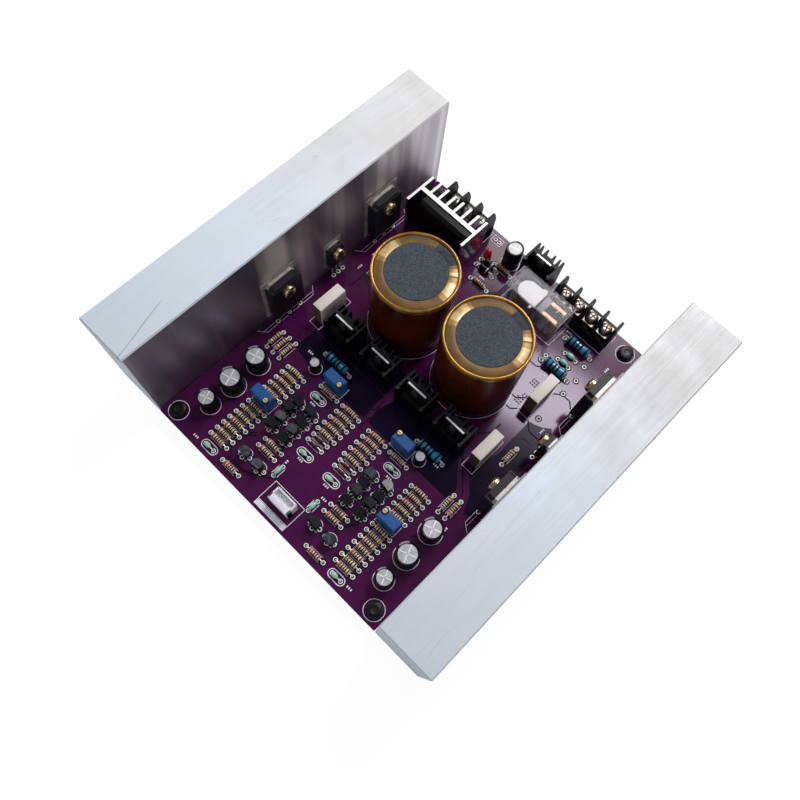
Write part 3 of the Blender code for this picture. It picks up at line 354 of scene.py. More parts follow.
def at(x, y, z=0.0, angle=0.0):
    """Placing matrix in metres with a turn about Z in degrees."""
    return Matrix.Translation((x, y, z)) @ Matrix.Rotation(math.radians(angle), 4, "Z")


ALONG_X = Matrix.Rotation(math.radians(90), 4, "Y")
FACE_FRONT = Matrix.Rotation(math.radians(90), 4, "X")
print("piece helpers ready")

# %% [markdown]
# Heat spreader bars: extruded aluminium, sawn to length and left bare. Drawing leaves fine lines
# along the length and handling leaves cloudy patches. A picture of brushed metal could be used, but
# noise has no seam: stretched noise gives the lines in the roughness, and large noise the clouds.

# %% Bar metal, lines and clouds
# Bare drawn metal: dull, so lamps turn into broad pale glows
mill, tree, shader = new_finish("mill_finish_aluminium", "#D9DEE3", 0.4, 1.0)
where = add_node(tree, "TexCoord")
lines = add_node(tree, "Mapping", {"Scale": (1, 0.02, 1)}, {"Vector": where.outputs["Object"]})
# Real drawing lines are 0.05 mm apart; they are drawn 0.5 mm apart so that they show
drawn = add_node(tree, "TexNoise", {"Scale": 2000, "Detail": 4}, {"Vector": lines.outputs["Vector"]})
clouds = add_node(
    tree, "TexNoise", {"Scale": 45, "Detail": 5, "Roughness": 0.65}, {"Vector": where.outputs["Object"]}
)
rough = add_node(
    tree, "MapRange", {"From Min": 0.3, "From Max": 0.7, "To Min": 0.68, "To Max": 0.86},
    {"Value": clouds.outputs["Fac"]}
)
streaks = add_node(
    tree, "MapRange", {"From Min": 0.35, "From Max": 0.65, "To Min": -0.03, "To Max": 0.03},
    {"Value": drawn.outputs["Fac"]}
)
total = add_node(tree, "Math", {"operation": "ADD"}, {0: rough.outputs[0], 1: streaks.outputs[0]})
tree.links.new(total.outputs[0], shader.inputs["Roughness"])
tone = add_node(tree, "Mix", {"data_type": "RGBA"}, {"Factor": clouds.outputs["Fac"]})
tone.inputs[6].default_value = linear("#C9D6E2")
tone.inputs[7].default_value = linear("#F4F4F2")
print("cloud size in mm:", round(1000 / 45))

# %% [markdown]
# Wear on the bars stays as it is on the object. The back halves are painted a little warmer, a
# painted reflection of the warm lamp behind. Fine scratches are the thin valleys of a coarse noise,
# and the one long scratch is the distance to a slanting line, shaken a little so that it doesn't look
# ruled.

# %% Warm ends and scratches
axes = add_node(tree, "SeparateXYZ", None, {0: where.outputs["Object"]})
back = add_node(
    tree, "MapRange", {"From Min": -0.01, "From Max": 0.05, "To Min": 0.0, "To Max": 0.4},
    {"Value": axes.outputs["Y"]}
)
# Painted warm reflection on the back halves of the bars
warm_reflection = add_node(tree, "Mix", {"data_type": "RGBA"}, {"Factor": back.outputs[0], 6: tone.outputs[2]})
warm_reflection.inputs[7].default_value = linear("#D9D1C6")
# Scratches are the thin valleys of a coarse, bent noise, as a dragged chip leaves
bent = add_node(
    tree, "Mapping", {"Scale": (1, 0.16, 1), "Rotation": (0, 0, 0.12)}, {"Vector": where.outputs["Object"]}
)
wander = add_node(tree, "TexNoise", {"Scale": 60, "Detail": 2}, {"Vector": bent.outputs["Vector"]})
offset = add_node(tree, "Math", {"operation": "SUBTRACT", 1: 0.5}, {0: wander.outputs["Fac"]})
size = add_node(tree, "Math", {"operation": "ABSOLUTE"}, {0: offset.outputs[0]})
scratch = add_node(
    tree, "MapRange", {"From Min": 0.0, "From Max": 0.0012, "To Min": 0.22, "To Max": 0.0},
    {"Value": size.outputs[0]}
)
# One long scratch crosses the left bar near its front end, 25 mm long and 0.3 mm wide
slant = add_node(tree, "Math", {"operation": "MULTIPLY_ADD", 1: 0.254, 2: 0.0859}, {0: axes.outputs["Y"]})
beside = add_node(tree, "Math", {"operation": "ADD"}, {0: axes.outputs["X"], 1: slant.outputs[0]})
shaky = add_node(
    tree, "Math", {"operation": "MULTIPLY_ADD", 1: 0.004}, {0: offset.outputs[0], 2: beside.outputs[0]}
)
apart = add_node(tree, "Math", {"operation": "ABSOLUTE"}, {0: shaky.outputs[0]})
cut = add_node(
    tree, "MapRange", {"From Min": 0.0, "From Max": 0.0004, "To Min": 0.5, "To Max": 0.0},
    {"Value": apart.outputs[0]}
)
inside = add_node(
    tree, "MapRange", {"From Min": -0.060, "From Max": -0.057, "To Min": 1.0, "To Max": 0.0},
    {"Value": axes.outputs["Y"]}
)
long_cut = add_node(tree, "Math", {"operation": "MULTIPLY"}, {0: cut.outputs[0], 1: inside.outputs[0]})
deeper = add_node(tree, "Math", {"operation": "MAXIMUM"}, {0: scratch.outputs[0], 1: long_cut.outputs[0]})
marked = add_node(tree, "Mix", {"data_type": "RGBA"}, {"Factor": deeper.outputs[0], 6: warm_reflection.outputs[2]})
marked.inputs[7].default_value = linear("#8F969C")
tree.links.new(marked.outputs[2], shader.inputs["Base Color"])
raised = add_node(tree, "Bump", {"Strength": 0.5, "Distance": 0.00002}, {"Height": drawn.outputs["Fac"]})
tree.links.new(raised.outputs["Normal"], shader.inputs["Normal"])
print("scratches drawn")

# %% [markdown]
# The inner faces came off the die and were never handled, so they shine more. They mirror the dark
# board and the pale room in bands that run up the face, and the pale bands are also painted into the
# colour as painted reflection, on top of the die marks. Stretched noise moves both their shade and
# their roughness together, because a dull streak is also a paler one.

# %% Inner faces and both bars
# Face straight from the die: shinier, with upright bands of die marks and painted reflection
inner_face, tree, shader = new_finish("extruded_aluminium_face", "#8E9094", 0.3, 1.0)
where = add_node(tree, "TexCoord")
# Extrusion marks run up the face here; they are 1 to 3 mm wide on the real bar
upward = add_node(tree, "Mapping", {"Scale": (1, 1, 0.05)}, {"Vector": where.outputs["Object"]})
marks = add_node(tree, "TexNoise", {"Scale": 75, "Detail": 2}, {"Vector": upward.outputs["Vector"]})
levels = add_node(
    tree, "MapRange", {"From Min": 0.48, "From Max": 0.66, "To Min": 0.0, "To Max": 1.0},
    {"Value": marks.outputs["Fac"]}
)
# Pale bands: die marks and painted reflection together
shade = add_node(tree, "Mix", {"data_type": "RGBA"}, {"Factor": levels.outputs[0]})
shade.inputs[6].default_value = linear("#B4B0B6")
shade.inputs[7].default_value = linear("#FFFDF8")
tree.links.new(shade.outputs[2], shader.inputs["Base Color"])
gloss = add_node(tree, "MapRange", {"To Min": 0.3, "To Max": 0.55}, {"Value": marks.outputs["Fac"]})
tree.links.new(gloss.outputs[0], shader.inputs["Roughness"])
for name, side in (("left_heat_spreader_bar", 1), ("right_heat_spreader_bar", -1)):
    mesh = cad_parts[name].data.copy()
    mesh.materials.clear()
    for face in mesh.polygons:
        face.material_index = 1 if face.normal.x * side > 0.9 else 0
    show(name + "_extrusion", mesh, [mill, inner_face], instead_of=[name])
print("bars dressed")

# %% [markdown]
# Circuit board: glass fibre laminate, copper on both sides and a glossy purple solder mask over all
# of it. Where copper lies under the mask the purple is light, and where it was etched away the
# mask looks nearly black. So the board is a light purple slab, with thin dark shapes laid on it.

# %% Board and solder mask
# Cast lacquer over copper: deep purple with a mirror's glare
mask, tree, shader = new_finish(
    "glossy_purple_solder_mask", "#541A50", 0.12, 0.0, {"Specular IOR Level": 0.23}
)
add_grain(tree, shader, ("#430D3C", "#4E1247"), 14, bump=0.003, rough=(0.1, 0.16))
# Routed edge of glass and resin: dull brown, its layers just show
laminate, tree, shader = new_finish("glass_fibre_edge", "#4A3A30", 0.7)
add_grain(tree, shader, ("#33262C", "#463838"), 0.6, stretch=(1, 1, 4))
# The same lacquer with no copper below: nearly black, a hint of navy
etched, tree, shader = new_finish(
    "mask_over_bare_laminate", "#1B1029", 0.2, 0.0, {"Specular IOR Level": 0.07}
)
add_grain(tree, shader, ("#10091C", "#190F2A"), 9, bump=0.003)
# A groove between two copper fields: a fine dark line without glare
gap, tree, shader = new_finish("etched_gap", "#160A18", 0.6, 0.0, {"Specular IOR Level": 0.05})
add_grain(tree, shader, ("#180618", "#260C26"), 3)
# Screened ink: flat white, a little thin in places
ink, tree, shader = new_finish("white_silkscreen_ink", "#F2F0F4", 0.55)
add_grain(tree, shader, ("#DDD9E2", "#FCFBFD"), 0.8, bump=0.004)

WIDTH, LENGTH, THICKNESS, CORNER = 0.1254, 0.167, 0.0016, 0.0005
shape = bmesh.new()
outline = []
for cx, cy, start in ((1, -1, 270), (1, 1, 0), (-1, 1, 90), (-1, -1, 180)):
    for step in range(5):
        angle = math.radians(start + step * 22.5)
        x = cx * (WIDTH / 2 - CORNER) + CORNER * math.cos(angle)
        outline.append((x, cy * (LENGTH / 2 - CORNER) + CORNER * math.sin(angle)))
add_slab(shape, outline, BOARD_TOP - THICKNESS, BOARD_TOP, 1, top_finish=0)
for face in shape.faces:
    if face.normal.z < -0.5 or abs(face.calc_center_median().z - (BOARD_TOP - THICKNESS)) < 1e-6:
        face.material_index = 0
show("board_laminate", to_mesh(shape), [mask, laminate], instead_of=["circuit_board"])
print("board size in mm:", WIDTH / MM, LENGTH / MM)

# %% [markdown]
# Flat print. Silkscreen ink and etched gaps are ribbons a few hundredths of a millimetre above the
# mask. A ribbon follows a line of points with mitred corners, so rings, ovals and outlines all
# come from one helper. Real ink lines are 0.2 mm wide, and most are drawn near that width; the
# rings and ovals are drawn up to twice as wide, so that they show.

# %% Ribbon helper
def add_ribbon(shape, points, width, height, closed=False, finish=0):
    """Flat strip along points in millimetres."""
    points = [Vector((x, y, 0)) * MM for x, y in points]
    count = len(points)
    pairs = []
    for number, point in enumerate(points):
        before = points[number - 1] if closed or number else point
        after = points[(number + 1) % count] if closed or number < count - 1 else point
        first = (point - before).normalized() if (point - before).length else (after - point).normalized()
        second = (after - point).normalized() if (after - point).length else first
        middle = (first + second).normalized()
        side = Vector((-middle.y, middle.x, 0))
        reach = width * MM / 2 / max(side.dot(Vector((-first.y, first.x, 0))), 0.4)
        z = Vector((0, 0, height))
        pairs.append((shape.verts.new(point - side * reach + z), shape.verts.new(point + side * reach + z)))
    for number in range(count if closed else count - 1):
        a, b = pairs[number], pairs[(number + 1) % count]
        shape.faces.new((a[0], b[0], b[1], a[1])).material_index = finish


def ring(x, y, radius, steps=40):
    """Points of a circle."""
    angles = [number * 2 * math.pi / steps for number in range(steps)]
    return [(x + radius * math.cos(angle), y + radius * math.sin(angle)) for angle in angles]


def oval(x, y, length, width, along=False):
    """Points of a long ring with round ends, across the board or along it."""
    half = (length - width) / 2
    points = []
    for side, start in ((1, -90), (-1, 90)):
        for step in range(9):
            angle = math.radians(start + step * 22.5)
            px, py = side * half + width / 2 * math.cos(angle), width / 2 * math.sin(angle)
            points.append((x - py, y + px) if along else (x + px, y + py))
    return points


def rectangle(left, front, right_side, back):
    """Corner points of a box in plan."""
    return [(left, front), (right_side, front), (right_side, back), (left, back)]


def polygon(shape, points, height, finish=0):
    """Flat filled field in millimetres."""
    shape.faces.new([shape.verts.new((x * MM, y * MM, height)) for x, y in points]).material_index = finish


# Heights of the print: etched gaps lie under the ink
INK = BOARD_TOP + 0.00004
GAP = BOARD_TOP + 0.00002
print("ribbons ready")

# %% [markdown]
# Etched fields. Behind the small signal parts the copper of the supply rails is cut back, so that
# the driver row stands on dark mask. Thin dark gaps part the copper fields and follow the tracks.

# %% Etched fields and gaps
AXIS = 0.8  # the line between the channels lies 0.8 mm right of the board's middle
shape = bmesh.new()
left_field = [(-45.5, -23.5), (-34.5, -25.7), (-1.8, -25.7), (-2.6, -20.5), (-2.8, -12.5), (-45.0, -12.5)]
right_field = [
    (1.1, -25.5), (46.5, -26.0), (46.8, -20.6), (38.4, -10.5), (38.0, -6.0), (1.7, -6.0), (1.7, -12.3),
    (-0.4, -18.8),
]
between_tracks = [
    (50.1, -20.8), (42.3, -12.1), (38.6, -8.6), (37.6, -7.6), (37.6, -6.4), (41.6, -10.4), (49.5, -19.2),
]
by_the_bar = [
    (55.6, -26.0), (52.2, -18.2), (45.8, -11.6), (44.8, -7.7), (48.5, 2.4), (48.2, 23.3), (53.7, 25.2),
    (57.1, 28.0), (60.1, 24.5), (60.1, -24.0),
]
for field in (left_field, right_field, between_tracks, by_the_bar):
    polygon(shape, field, GAP - 0.00001)
polygon(shape, [(-44, -12.0), (-2.8, -12.0), (-2.8, 1.5), (-43, 1.5)], GAP - 0.000012)
show("etched_fields", to_mesh(shape, closed=False), [etched])
print("etched fields: 5")

# %% [markdown]
# Tracks and gaps. On the real board a gap is about 0.25 mm wide. It is drawn at 0.3 to 0.55 mm, so
# that it shows from the camera's height.

# %% Gaps and tracks
shape = bmesh.new()
for field in (left_field, right_field):
    add_ribbon(shape, field, 0.35, GAP, closed=True)
tracks = [
    [(-26.5, -62.2), (-30.3, -66.0), (-30.3, -73.5), (-27.0, -76.5), (-21.0, -76.5), (-17.5, -75.5)],
    [
        (-27.5, -61.6), (-31.3, -65.4), (-31.3, -74.1), (-27.4, -77.5), (-20.6, -77.5), (-12.6, -73.0),
        (-9.0, -70.5),
    ],
    [(27.5, -60.5), (24.6, -64.5), (24.6, -67.5)],
    [(28.5, -60.0), (25.6, -64.0), (25.6, -67.6), (22.0, -70.5)],
    [(30.5, -74.5), (33.0, -71.5), (33.0, -64.5)],
    [(31.5, -75.0), (34.0, -72.0), (34.0, -64.8)],
    [(22.5, 4.0), (36.5, 4.0), (40.5, 8.5), (40.5, 14.0)],
    [(33.0, 27.5), (37.0, 27.5), (41.0, 31.5)],
    [(33.5, 22.0), (38.5, 22.0), (41.5, 25.0)],
    [(47.5, 23.5), (51.0, 20.0), (56.5, 20.0)],
    [(47.0, 40.5), (50.5, 43.0), (54.5, 43.0), (57.0, 40.5)],
    [(29.0, 45.0), (33.5, 45.0), (36.0, 47.5), (36.0, 51.5)],
    [(-54.0, 44.0), (-43.0, 44.0), (-38.0, 39.0)],
    [(-53.5, 30.0), (-50.5, 27.0), (-50.5, 14.0)],
    [(-6.0, 56.0), (-2.5, 59.5), (-2.5, 68.0)],
    [(-6.0, 54.8), (-1.7, 59.1), (-1.7, 67.5)],
    [(-6.0, 53.6), (-0.9, 58.7), (-0.9, 67.0)],
    [(-22.0, 59.5), (-20.0, 61.5), (-20.0, 66.5)],
    [(0.0, -30.5), (0.0, -24.0), (3.5, -20.5), (3.5, -14.0)],
    [(-4.0, -30.0), (-4.0, -22.5), (-1.0, -19.5), (-1.0, -14.0)],
    [(-44.5, -58.0), (-47.5, -61.0), (-57.5, -61.0)],
    [(47.0, -47.5), (50.0, -44.5), (50.0, -36.0)],
]
for track in tracks:
    add_ribbon(shape, track, 0.55, GAP)
for x, y in ((-53, -31), (-53, 6), (52, 12), (52, -33)):
    add_ribbon(shape, [(x - 4, y), (x, y + 4), (x + 4, y + 4)], 0.3, GAP)
show("etched_gaps", to_mesh(shape, closed=False), [gap])
print("gaps:", len(tracks))

# %% [markdown]
# Places of the small parts. Both channels mirror each other, so most places are written once with
# their distance from the mirror line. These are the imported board's own places, in millimetres.

# %% Small part places
def both(offset, y, angle=0):
    return [(AXIS - offset, y, angle), (AXIS + offset, y, angle)]


resistors = []
for first, count in ((-75.0, 7), (-46.0, 5)):
    for row in range(count):
        resistors += both(36.75, first + 3.4 * row)
resistors += both(24.65, -79.3) + both(19.4, -64.7) + both(19.4, -60.9)
for row in range(5):
    resistors += both(7.8, -28.2 - 3.52 * row)
resistors += both(20.5, -28.5)
for column in range(3):
    # The third crosswise place of the right channel is left bare on the real board
    resistors += both(47.1 + 3.8 * column, -27.7, 90)[:2 if column < 2 else 1]
resistors += [(52.7, 5.7, 90), (-8.9, 69.6, 0), (-11.5, 56.4, 0)]
glass_diodes = both(7.9, -45.4) + both(7.9, -48.6)
rectifiers = [(-14.7, 66.9, 0), (-14.6, 63.4, 0)]
film_resistors = both(27.4, -17.0) + [(40.5, 64.5, 0), (40.1, 49.0, 0)]
drops = both(37.1, -79.5) + both(21.8, -33.4) + both(7.7, -54.1)
long_drops = both(10.2, -66.6, 90) + [(41.1, 59.1, 0), (40.8, 54.5, 0)]
transistors = both(16.4, -71.0) + both(24.8, -71.0)
for offset in (17.9, 26.0):
    for row in range(4):
        transistors += both(offset, -40.8 - 4.87 * row)
small_capacitors = [(-32.0, -24.6, 0), (27.5, -22.5, 0)]
print("small parts:", len(resistors) + len(drops) + len(transistors))

# %% [markdown]
# Silkscreen. White ink shows where each part goes: rings for capacitors, ovals for the green drops
# and arcs for small transistors. All of it is drawn into one flat shape.

# %% Rings, ovals and arcs
shape = bmesh.new()
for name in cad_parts:
    if name.startswith(("electrolytic", "relay_supply", "reservoir")):
        low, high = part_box(name)
        x, y = (low.x + high.x) / 2 / MM, (low.y + high.y) / 2 / MM
        margin = 0.5 if "reservoir" in name else 0.35
        add_ribbon(shape, ring(x, y, (high.x - low.x) / 2 / MM + margin, 64), 0.28, INK, True)
for x, y, _ in small_capacitors:
    add_ribbon(shape, ring(x, y, 2.9), 0.22, INK, True)
for sx in (-1, 1):
    for sy in (-1, 1):
        add_ribbon(shape, ring(sx * 57.2, sy * 78.0, 4.3), 0.28, INK, True)
        add_ribbon(shape, [(sx * 61.4, sy * 78.0 - 0.4), (sx * 61.4, sy * 78.0 + 0.4)], 0.5, INK)
for x, y, _ in drops:
    add_ribbon(shape, oval(x, y, 8.0, 3.7), 0.38, INK, True)
for x, y, _ in long_drops[:2]:
    add_ribbon(shape, oval(x, y, 6.9, 2.9, True), 0.34, INK, True)
for x, y, angle in resistors + glass_diodes:
    cut = 1.35
    for side in (-1, 1):
        line = [(x - 3.3, y + side * cut), (x + 3.3, y + side * cut)]
        if angle:
            line = [(x + side * cut, y - 3.3), (x + side * cut, y + 3.3)]
        add_ribbon(shape, line, 0.16, INK)
for x, y, _ in transistors:
    arc = [math.radians(angle) for angle in range(-42, 223, 12)]
    points = [(x + 3.0 * math.cos(angle), y + 2.9 * math.sin(angle) - 0.2) for angle in arc]
    add_ribbon(shape, points, 0.26, INK, True)
print("rings and arcs:", len(small_capacitors) + len(drops) + len(transistors))

# %% [markdown]
# The power parts get longer outlines: an open bracket in front of each bar transistor and a box
# round each block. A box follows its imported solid, with a margin in millimetres.

# %% Long outlines
for side in (-1, 1):
    for first, last in ((-30.7, 2.0), (28.0, 60.4)):
        inner, outer = side * 58.6, side * 62.3
        add_ribbon(shape, [(outer, first), (inner, first + 3), (inner, last - 3), (outer, last)], 0.22, INK)
        add_ribbon(shape, [(inner + side * 1.4, first + 1.4), (inner + side * 1.4, last - 1.4)], 0.16, INK)
margins = {
    "power_terminal_block": 0.5, "speaker_terminal_block": 0.5, "relay_cover": 0.6,
    "emitter_resistor_left_front": 0.4, "emitter_resistor_right_front": 0.4,
    "emitter_resistor_left_back": 0.4, "emitter_resistor_right_back": 0.4,
    "trimmer_left_front": 0.3, "trimmer_left_back": 0.3, "trimmer_right_front": 0.3,
    "trimmer_right_back": 0.3, "regulator_heatsink": 0.3,
}
for name, margin in margins.items():
    low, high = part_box(name)
    tall = 2.1 if name.startswith("emitter") else 0.0
    box = (
        low.x / MM - margin, low.y / MM - margin - tall, high.x / MM + margin, high.y / MM + margin + tall
    )
    box = (box[0], box[1], box[2], min(box[3], 83.3))
    add_ribbon(shape, rectangle(*box), 0.2, INK, True)
add_ribbon(shape, rectangle(-6.9, -79.6, 9.9, -69.9), 0.28, INK, True)
polygon(shape, rectangle(-6.9, -82.2, 9.9, -79.9), INK)
add_ribbon(shape, rectangle(-23.6, 77.9, -18.2, 81.5), 0.25, INK, True)
polygon(shape, rectangle(-22.8, 78.9, -21.2, 80.5), INK)
add_ribbon(shape, ring(-19.6, 79.7, 0.8, 20), 0.35, INK, True)
print("outlined solids:", len(margins))

# %% [markdown]
# Lettering is left off. Three plain dashes stand where each small label is, so the board keeps
# its rhythm of print without any words.

# %% Label dashes
labels = [
    (-34.5, -74.5, 90), (36.5, -74.0, 0), (-43.8, -80.3, 0), (44.5, -79.0, 0), (-9.9, -62.0, 90),
    (12.0, -61.6, 0), (-21.0, -36.6, 0), (24.0, -36.7, 0), (-6.8, -57.0, 0), (8.6, -57.2, 0),
    (33.8, -19.0, 0), (-38.8, -21.0, 0), (-54.6, 24.0, 90), (55.0, 24.0, 90), (56.4, 66.0, 90),
    (-26.5, 48.5, 0), (0.5, 50.5, 0), (-12.8, 60.0, 0), (33.0, 68.0, 0), (38.0, 44.6, 0),
    (-55.0, -36.0, 90), (55.0, -36.0, 90),
]
for x, y, angle in labels:
    for shift in (-1.0, 0.0, 1.0):
        line = [(x + shift, y - 0.45), (x + shift, y + 0.45)]
        if angle:
            line = [(x - 0.45, y + shift), (x + 0.45, y + shift)]
        add_ribbon(shape, line, 0.55, INK)
show("silkscreen_print", to_mesh(shape, closed=False), [ink])
print("printed fields:", len(labels))

# %% [markdown]
# Soldered pads. Each lead ends in a plated hole: a ring of painted shade where the mask stops, a
# collar of solder painted white as its highlight, and the hole beside the lead in painted shade. One
# pad is turned once and copied to every hole.

# %% Solder pads
# Solder collar: a painted highlight, small white spots that outline every lead
solder_highlight, tree, shader = new_finish("solder_painted_highlight", "#FFFFFF", 0.4, 0.0)
add_grain(tree, shader, ("#F4F3F0", "#FFFFFF"), 0.5, rough=(0.3, 0.45))
# Painted shade where the mask stops and in the hole: black, so the collar stands out
dark_ring_shade, tree, shader = new_finish("mask_opening_shadow", "#0D0A10", 0.5, 0.0, {"Specular IOR Level": 0.2})
add_grain(tree, shader, ("#020203", "#050406"), 0.7)
shape = bmesh.new()
# Finish 1 is the painted shade of the ring and the hole; finish 0 is the collar's painted highlight
collar = [
    (1.55 * MM, 0.0, 1), (1.53 * MM, 0.05 * MM, 1), (1.02 * MM, 0.055 * MM, 1), (1.0 * MM, 0.1 * MM, 0),
    (0.95 * MM, 0.14 * MM, 0), (0.62 * MM, 0.15 * MM, 0), (0.6 * MM, 0.08 * MM, 1),
    (0.5 * MM, 0.06 * MM, 1),
]
add_turned(shape, collar, steps=20)
pad = to_mesh(shape)
print("pad across in mm:", 2 * 1.55)

# %% [markdown]
# Every small part adds its own holes to one list, by the spacing of its leads. The rows beside the
# bars take the legs of the transistors that are screwed there.

# %% Pads in every hole
holes = []
for x, y, angle in resistors + rectifiers:
    dx, dy = (0, 4.8) if angle else (4.8, 0)
    holes += [(x - dx, y - dy), (x + dx, y + dy)]
for x, y, angle in glass_diodes:
    holes += [(x - 4.0, y), (x + 4.0, y)]
for x, y, angle in film_resistors:
    holes += [(x - 7.25, y), (x + 7.25, y)]
for x, y, angle in drops:
    holes += [(x - 2.3, y), (x + 2.3, y)]
for x, y, angle in long_drops:
    dx, dy = (0, 2.5) if angle else (2.9, 0)
    holes += [(x - dx, y - dy), (x + dx, y + dy)]
for x, y, angle in transistors:
    holes += [(x - 2.4, y - 0.6), (x + 2.5, y - 0.2), (x, y - 2.0)]
for side in (-1, 1):
    for y in (-20.9, -14.2, -7.9, 38.3, 44.1, 49.9, 12.4, 15.2, 18.0):
        holes.append((side * 59.5, y))
holes += [
    (50.2, 52.3), (50.2, 43.6), (50.2, 27.3), (-21.9, 79.7), (33.0, 52.0), (48.5, 60.0), (-52.0, 50.0)
]
show("solder_pads", spread([(pad, at(x * MM, y * MM, BOARD_TOP)) for x, y in holes]), [solder_highlight, dark_ring_shade])
print("pads:", len(holes))

# %% [markdown]
# Vias: groups of small plated holes that carry current through the board. Each is a small dark
# ring 1.25 mm from the next. The real holes are 0.3 mm wide and are drawn a little larger.

# %% Vias
VIA_PITCH = 1.25
groups = [
    (36.9, 37.2, 3, 3), (37.2, 26.4, 3, 3), (38.5, 29.0, 2, 3), (-44.0, 52.0, 3, 2), (49.5, 3.0, 2, 3)
]
shape = bmesh.new()
for cx, cy, columns, rows in groups:
    for column in range(columns):
        for row in range(rows):
            place = (cx + VIA_PITCH * column, cy + VIA_PITCH * row)
            add_ribbon(shape, ring(*place, 0.22, 10), 0.36, INK, True)
show("plated_vias", to_mesh(shape, closed=False), [gap])
print("vias:", sum(columns * rows for _, _, columns, rows in groups))

# %% [markdown]
# Lacquered resistors. A ceramic rod with end caps is dipped in lacquer and painted with rings. The
# lacquer's grain is how its thickness varies, about 1.6 mm, and the paint's is half a millimetre.

# %% Lacquer, ring and wire finishes
# Dipped lacquer: tan, with a small highlight on each bulge
tan, tree, shader = new_finish("tan_dipped_lacquer", "#D2B28C", 0.25, 0.0, {"Coat Weight": 0.4})
add_grain(tree, shader, ("#D2AD80", "#F2DAB6"), 1.6, bump=0.01)
# Painted ring: flat, much darker than the lacquer
brown, tree, shader = new_finish("brown_paint_ring", "#341509", 0.5, 0.0, {"Specular IOR Level": 0.2})
add_grain(tree, shader, ("#0F0503", "#1E0C06"), 0.5)
# Brick red ring: the warm spots among the tan bodies
red, tree, shader = new_finish("red_paint_ring", "#9E3F2C", 0.3)
add_grain(tree, shader, ("#8E3420", "#B8543A"), 0.5)
# Black ring: flat, so it stays dark under the lamps
black, tree, shader = new_finish("black_paint_ring", "#17110F", 0.5, 0.0, {"Specular IOR Level": 0.2})
add_grain(tree, shader, ("#0A0706", "#140E0C"), 0.5)
# Tin plated wire: bright, too rough to mirror
tinned, tree, shader = new_finish("tinned_copper_wire", "#EDE9E2", 0.35, 0.3)
add_grain(tree, shader, ("#DAD5CC", "#FBF9F5"), 0.9, rough=(0.22, 0.4))
print("resistor finishes ready")

# %% [markdown]
# The ends bulge over the caps and the waist is slimmer. The body is turned, and each band is a
# stretch of the profile with its own finish, which keeps the edges of the bands sharp.

# %% Banded bodies and leads
def banded_body(radius, waist, length, rings, steps=16):
    """Dipped body along X: rings are (start, end, finish) fractions of the length."""
    cap = radius * 0.5
    cuts = {0.0, 1.0, 0.03, 0.08, 0.16, 0.26, 0.32, 0.68, 0.74, 0.84, 0.92, 0.97}
    for start, end, _ in rings:
        cuts |= {start, end}
    profile = []
    for cut in sorted(cuts):
        edge = min(cut, 1 - cut)
        if edge < 0.08:
            part = math.sqrt(max(0.0, 1 - (1 - edge / 0.08) ** 2))
            size = cap + (radius - cap) * part
        elif edge < 0.2:
            size = radius
        else:
            fade = min(1.0, (edge - 0.2) / 0.1)
            size = radius + (waist - radius) * (fade * fade * (3 - 2 * fade))
        shade = 0
        for start, end, finish in rings:
            if start < cut <= end:
                shade = finish
        profile.append((size, (cut - 0.5) * length, shade))
    shape = bmesh.new()
    add_turned(shape, profile, ALONG_X, steps)
    return shape


def add_leads(shape, pads, length, height, radius, finish):
    """Leads from both ends, bent down into the board."""
    for side in (-1, 1):
        inner, outer = side * (length / 2 - 0.0003), side * pads / 2
        bend = side * 0.0006
        points = [
            (inner, 0, height), (outer - bend * 1.4, 0, height), (outer - bend * 0.4, 0, height - 0.0002),
            (outer, 0, height - 0.0008), (outer, 0, -0.0004),
        ]
        add_wire(shape, points, radius, finish)


def place_parts(mesh, places):
    """Pair a mesh with each of its places on the board."""
    return [(mesh, at(x * MM, y * MM, BOARD_TOP, angle)) for x, y, angle in places]


print("banded body ready")

# %% [markdown]
# Four ring codes are shared out among the resistors in a fixed order, so that neighbours differ as
# they do on the board. A row is (start, end, finish), in shares of the body's length.

# %% Small resistors
codes = [
    [(0.10, 0.18, 1), (0.27, 0.36, 3), (0.44, 0.53, 1), (0.61, 0.70, 3), (0.82, 0.91, 1)],
    [(0.08, 0.22, 2), (0.30, 0.39, 3), (0.46, 0.55, 1), (0.62, 0.71, 3), (0.82, 0.91, 1)],
    [(0.08, 0.21, 2), (0.28, 0.40, 2), (0.47, 0.56, 1), (0.63, 0.72, 3), (0.82, 0.91, 3)],
    [(0.10, 0.18, 3), (0.26, 0.34, 1), (0.41, 0.49, 3), (0.56, 0.64, 1), (0.71, 0.78, 3), (0.86, 0.93, 1)],
]
patterns = []
for code in codes:
    shape = banded_body(0.00112, 0.00088, 0.0063, code)
    bmesh.ops.translate(shape, vec=(0, 0, 0.00145), verts=shape.verts)
    add_leads(shape, pads=0.0096, length=0.0063, height=0.00145, radius=0.00024, finish=4)
    patterns.append(to_mesh(shape))
order = [1, 0, 1, 1, 0, 3, 0, 1, 0, 2, 3, 0, 2, 1, 0]
placed = []
for number, place in enumerate(resistors):
    placed += place_parts(patterns[order[(number // 2) % len(order)]], [place])
show("small_resistors", spread(placed), [tan, brown, red, black, tinned])
print("resistors:", len(resistors))

# %% [markdown]
# Blue metal film resistors are the same dipped rod, larger, in glossy teal with five dark rings.

# %% Film resistors
# Thick glossy dip: teal with a long soft highlight
teal, tree, shader = new_finish("blue_dipped_lacquer", "#1F7FA6", 0.2, 0.0, {"Coat Weight": 0.5})
add_grain(tree, shader, ("#176C93", "#2F93B8"), 2.2, bump=0.02)
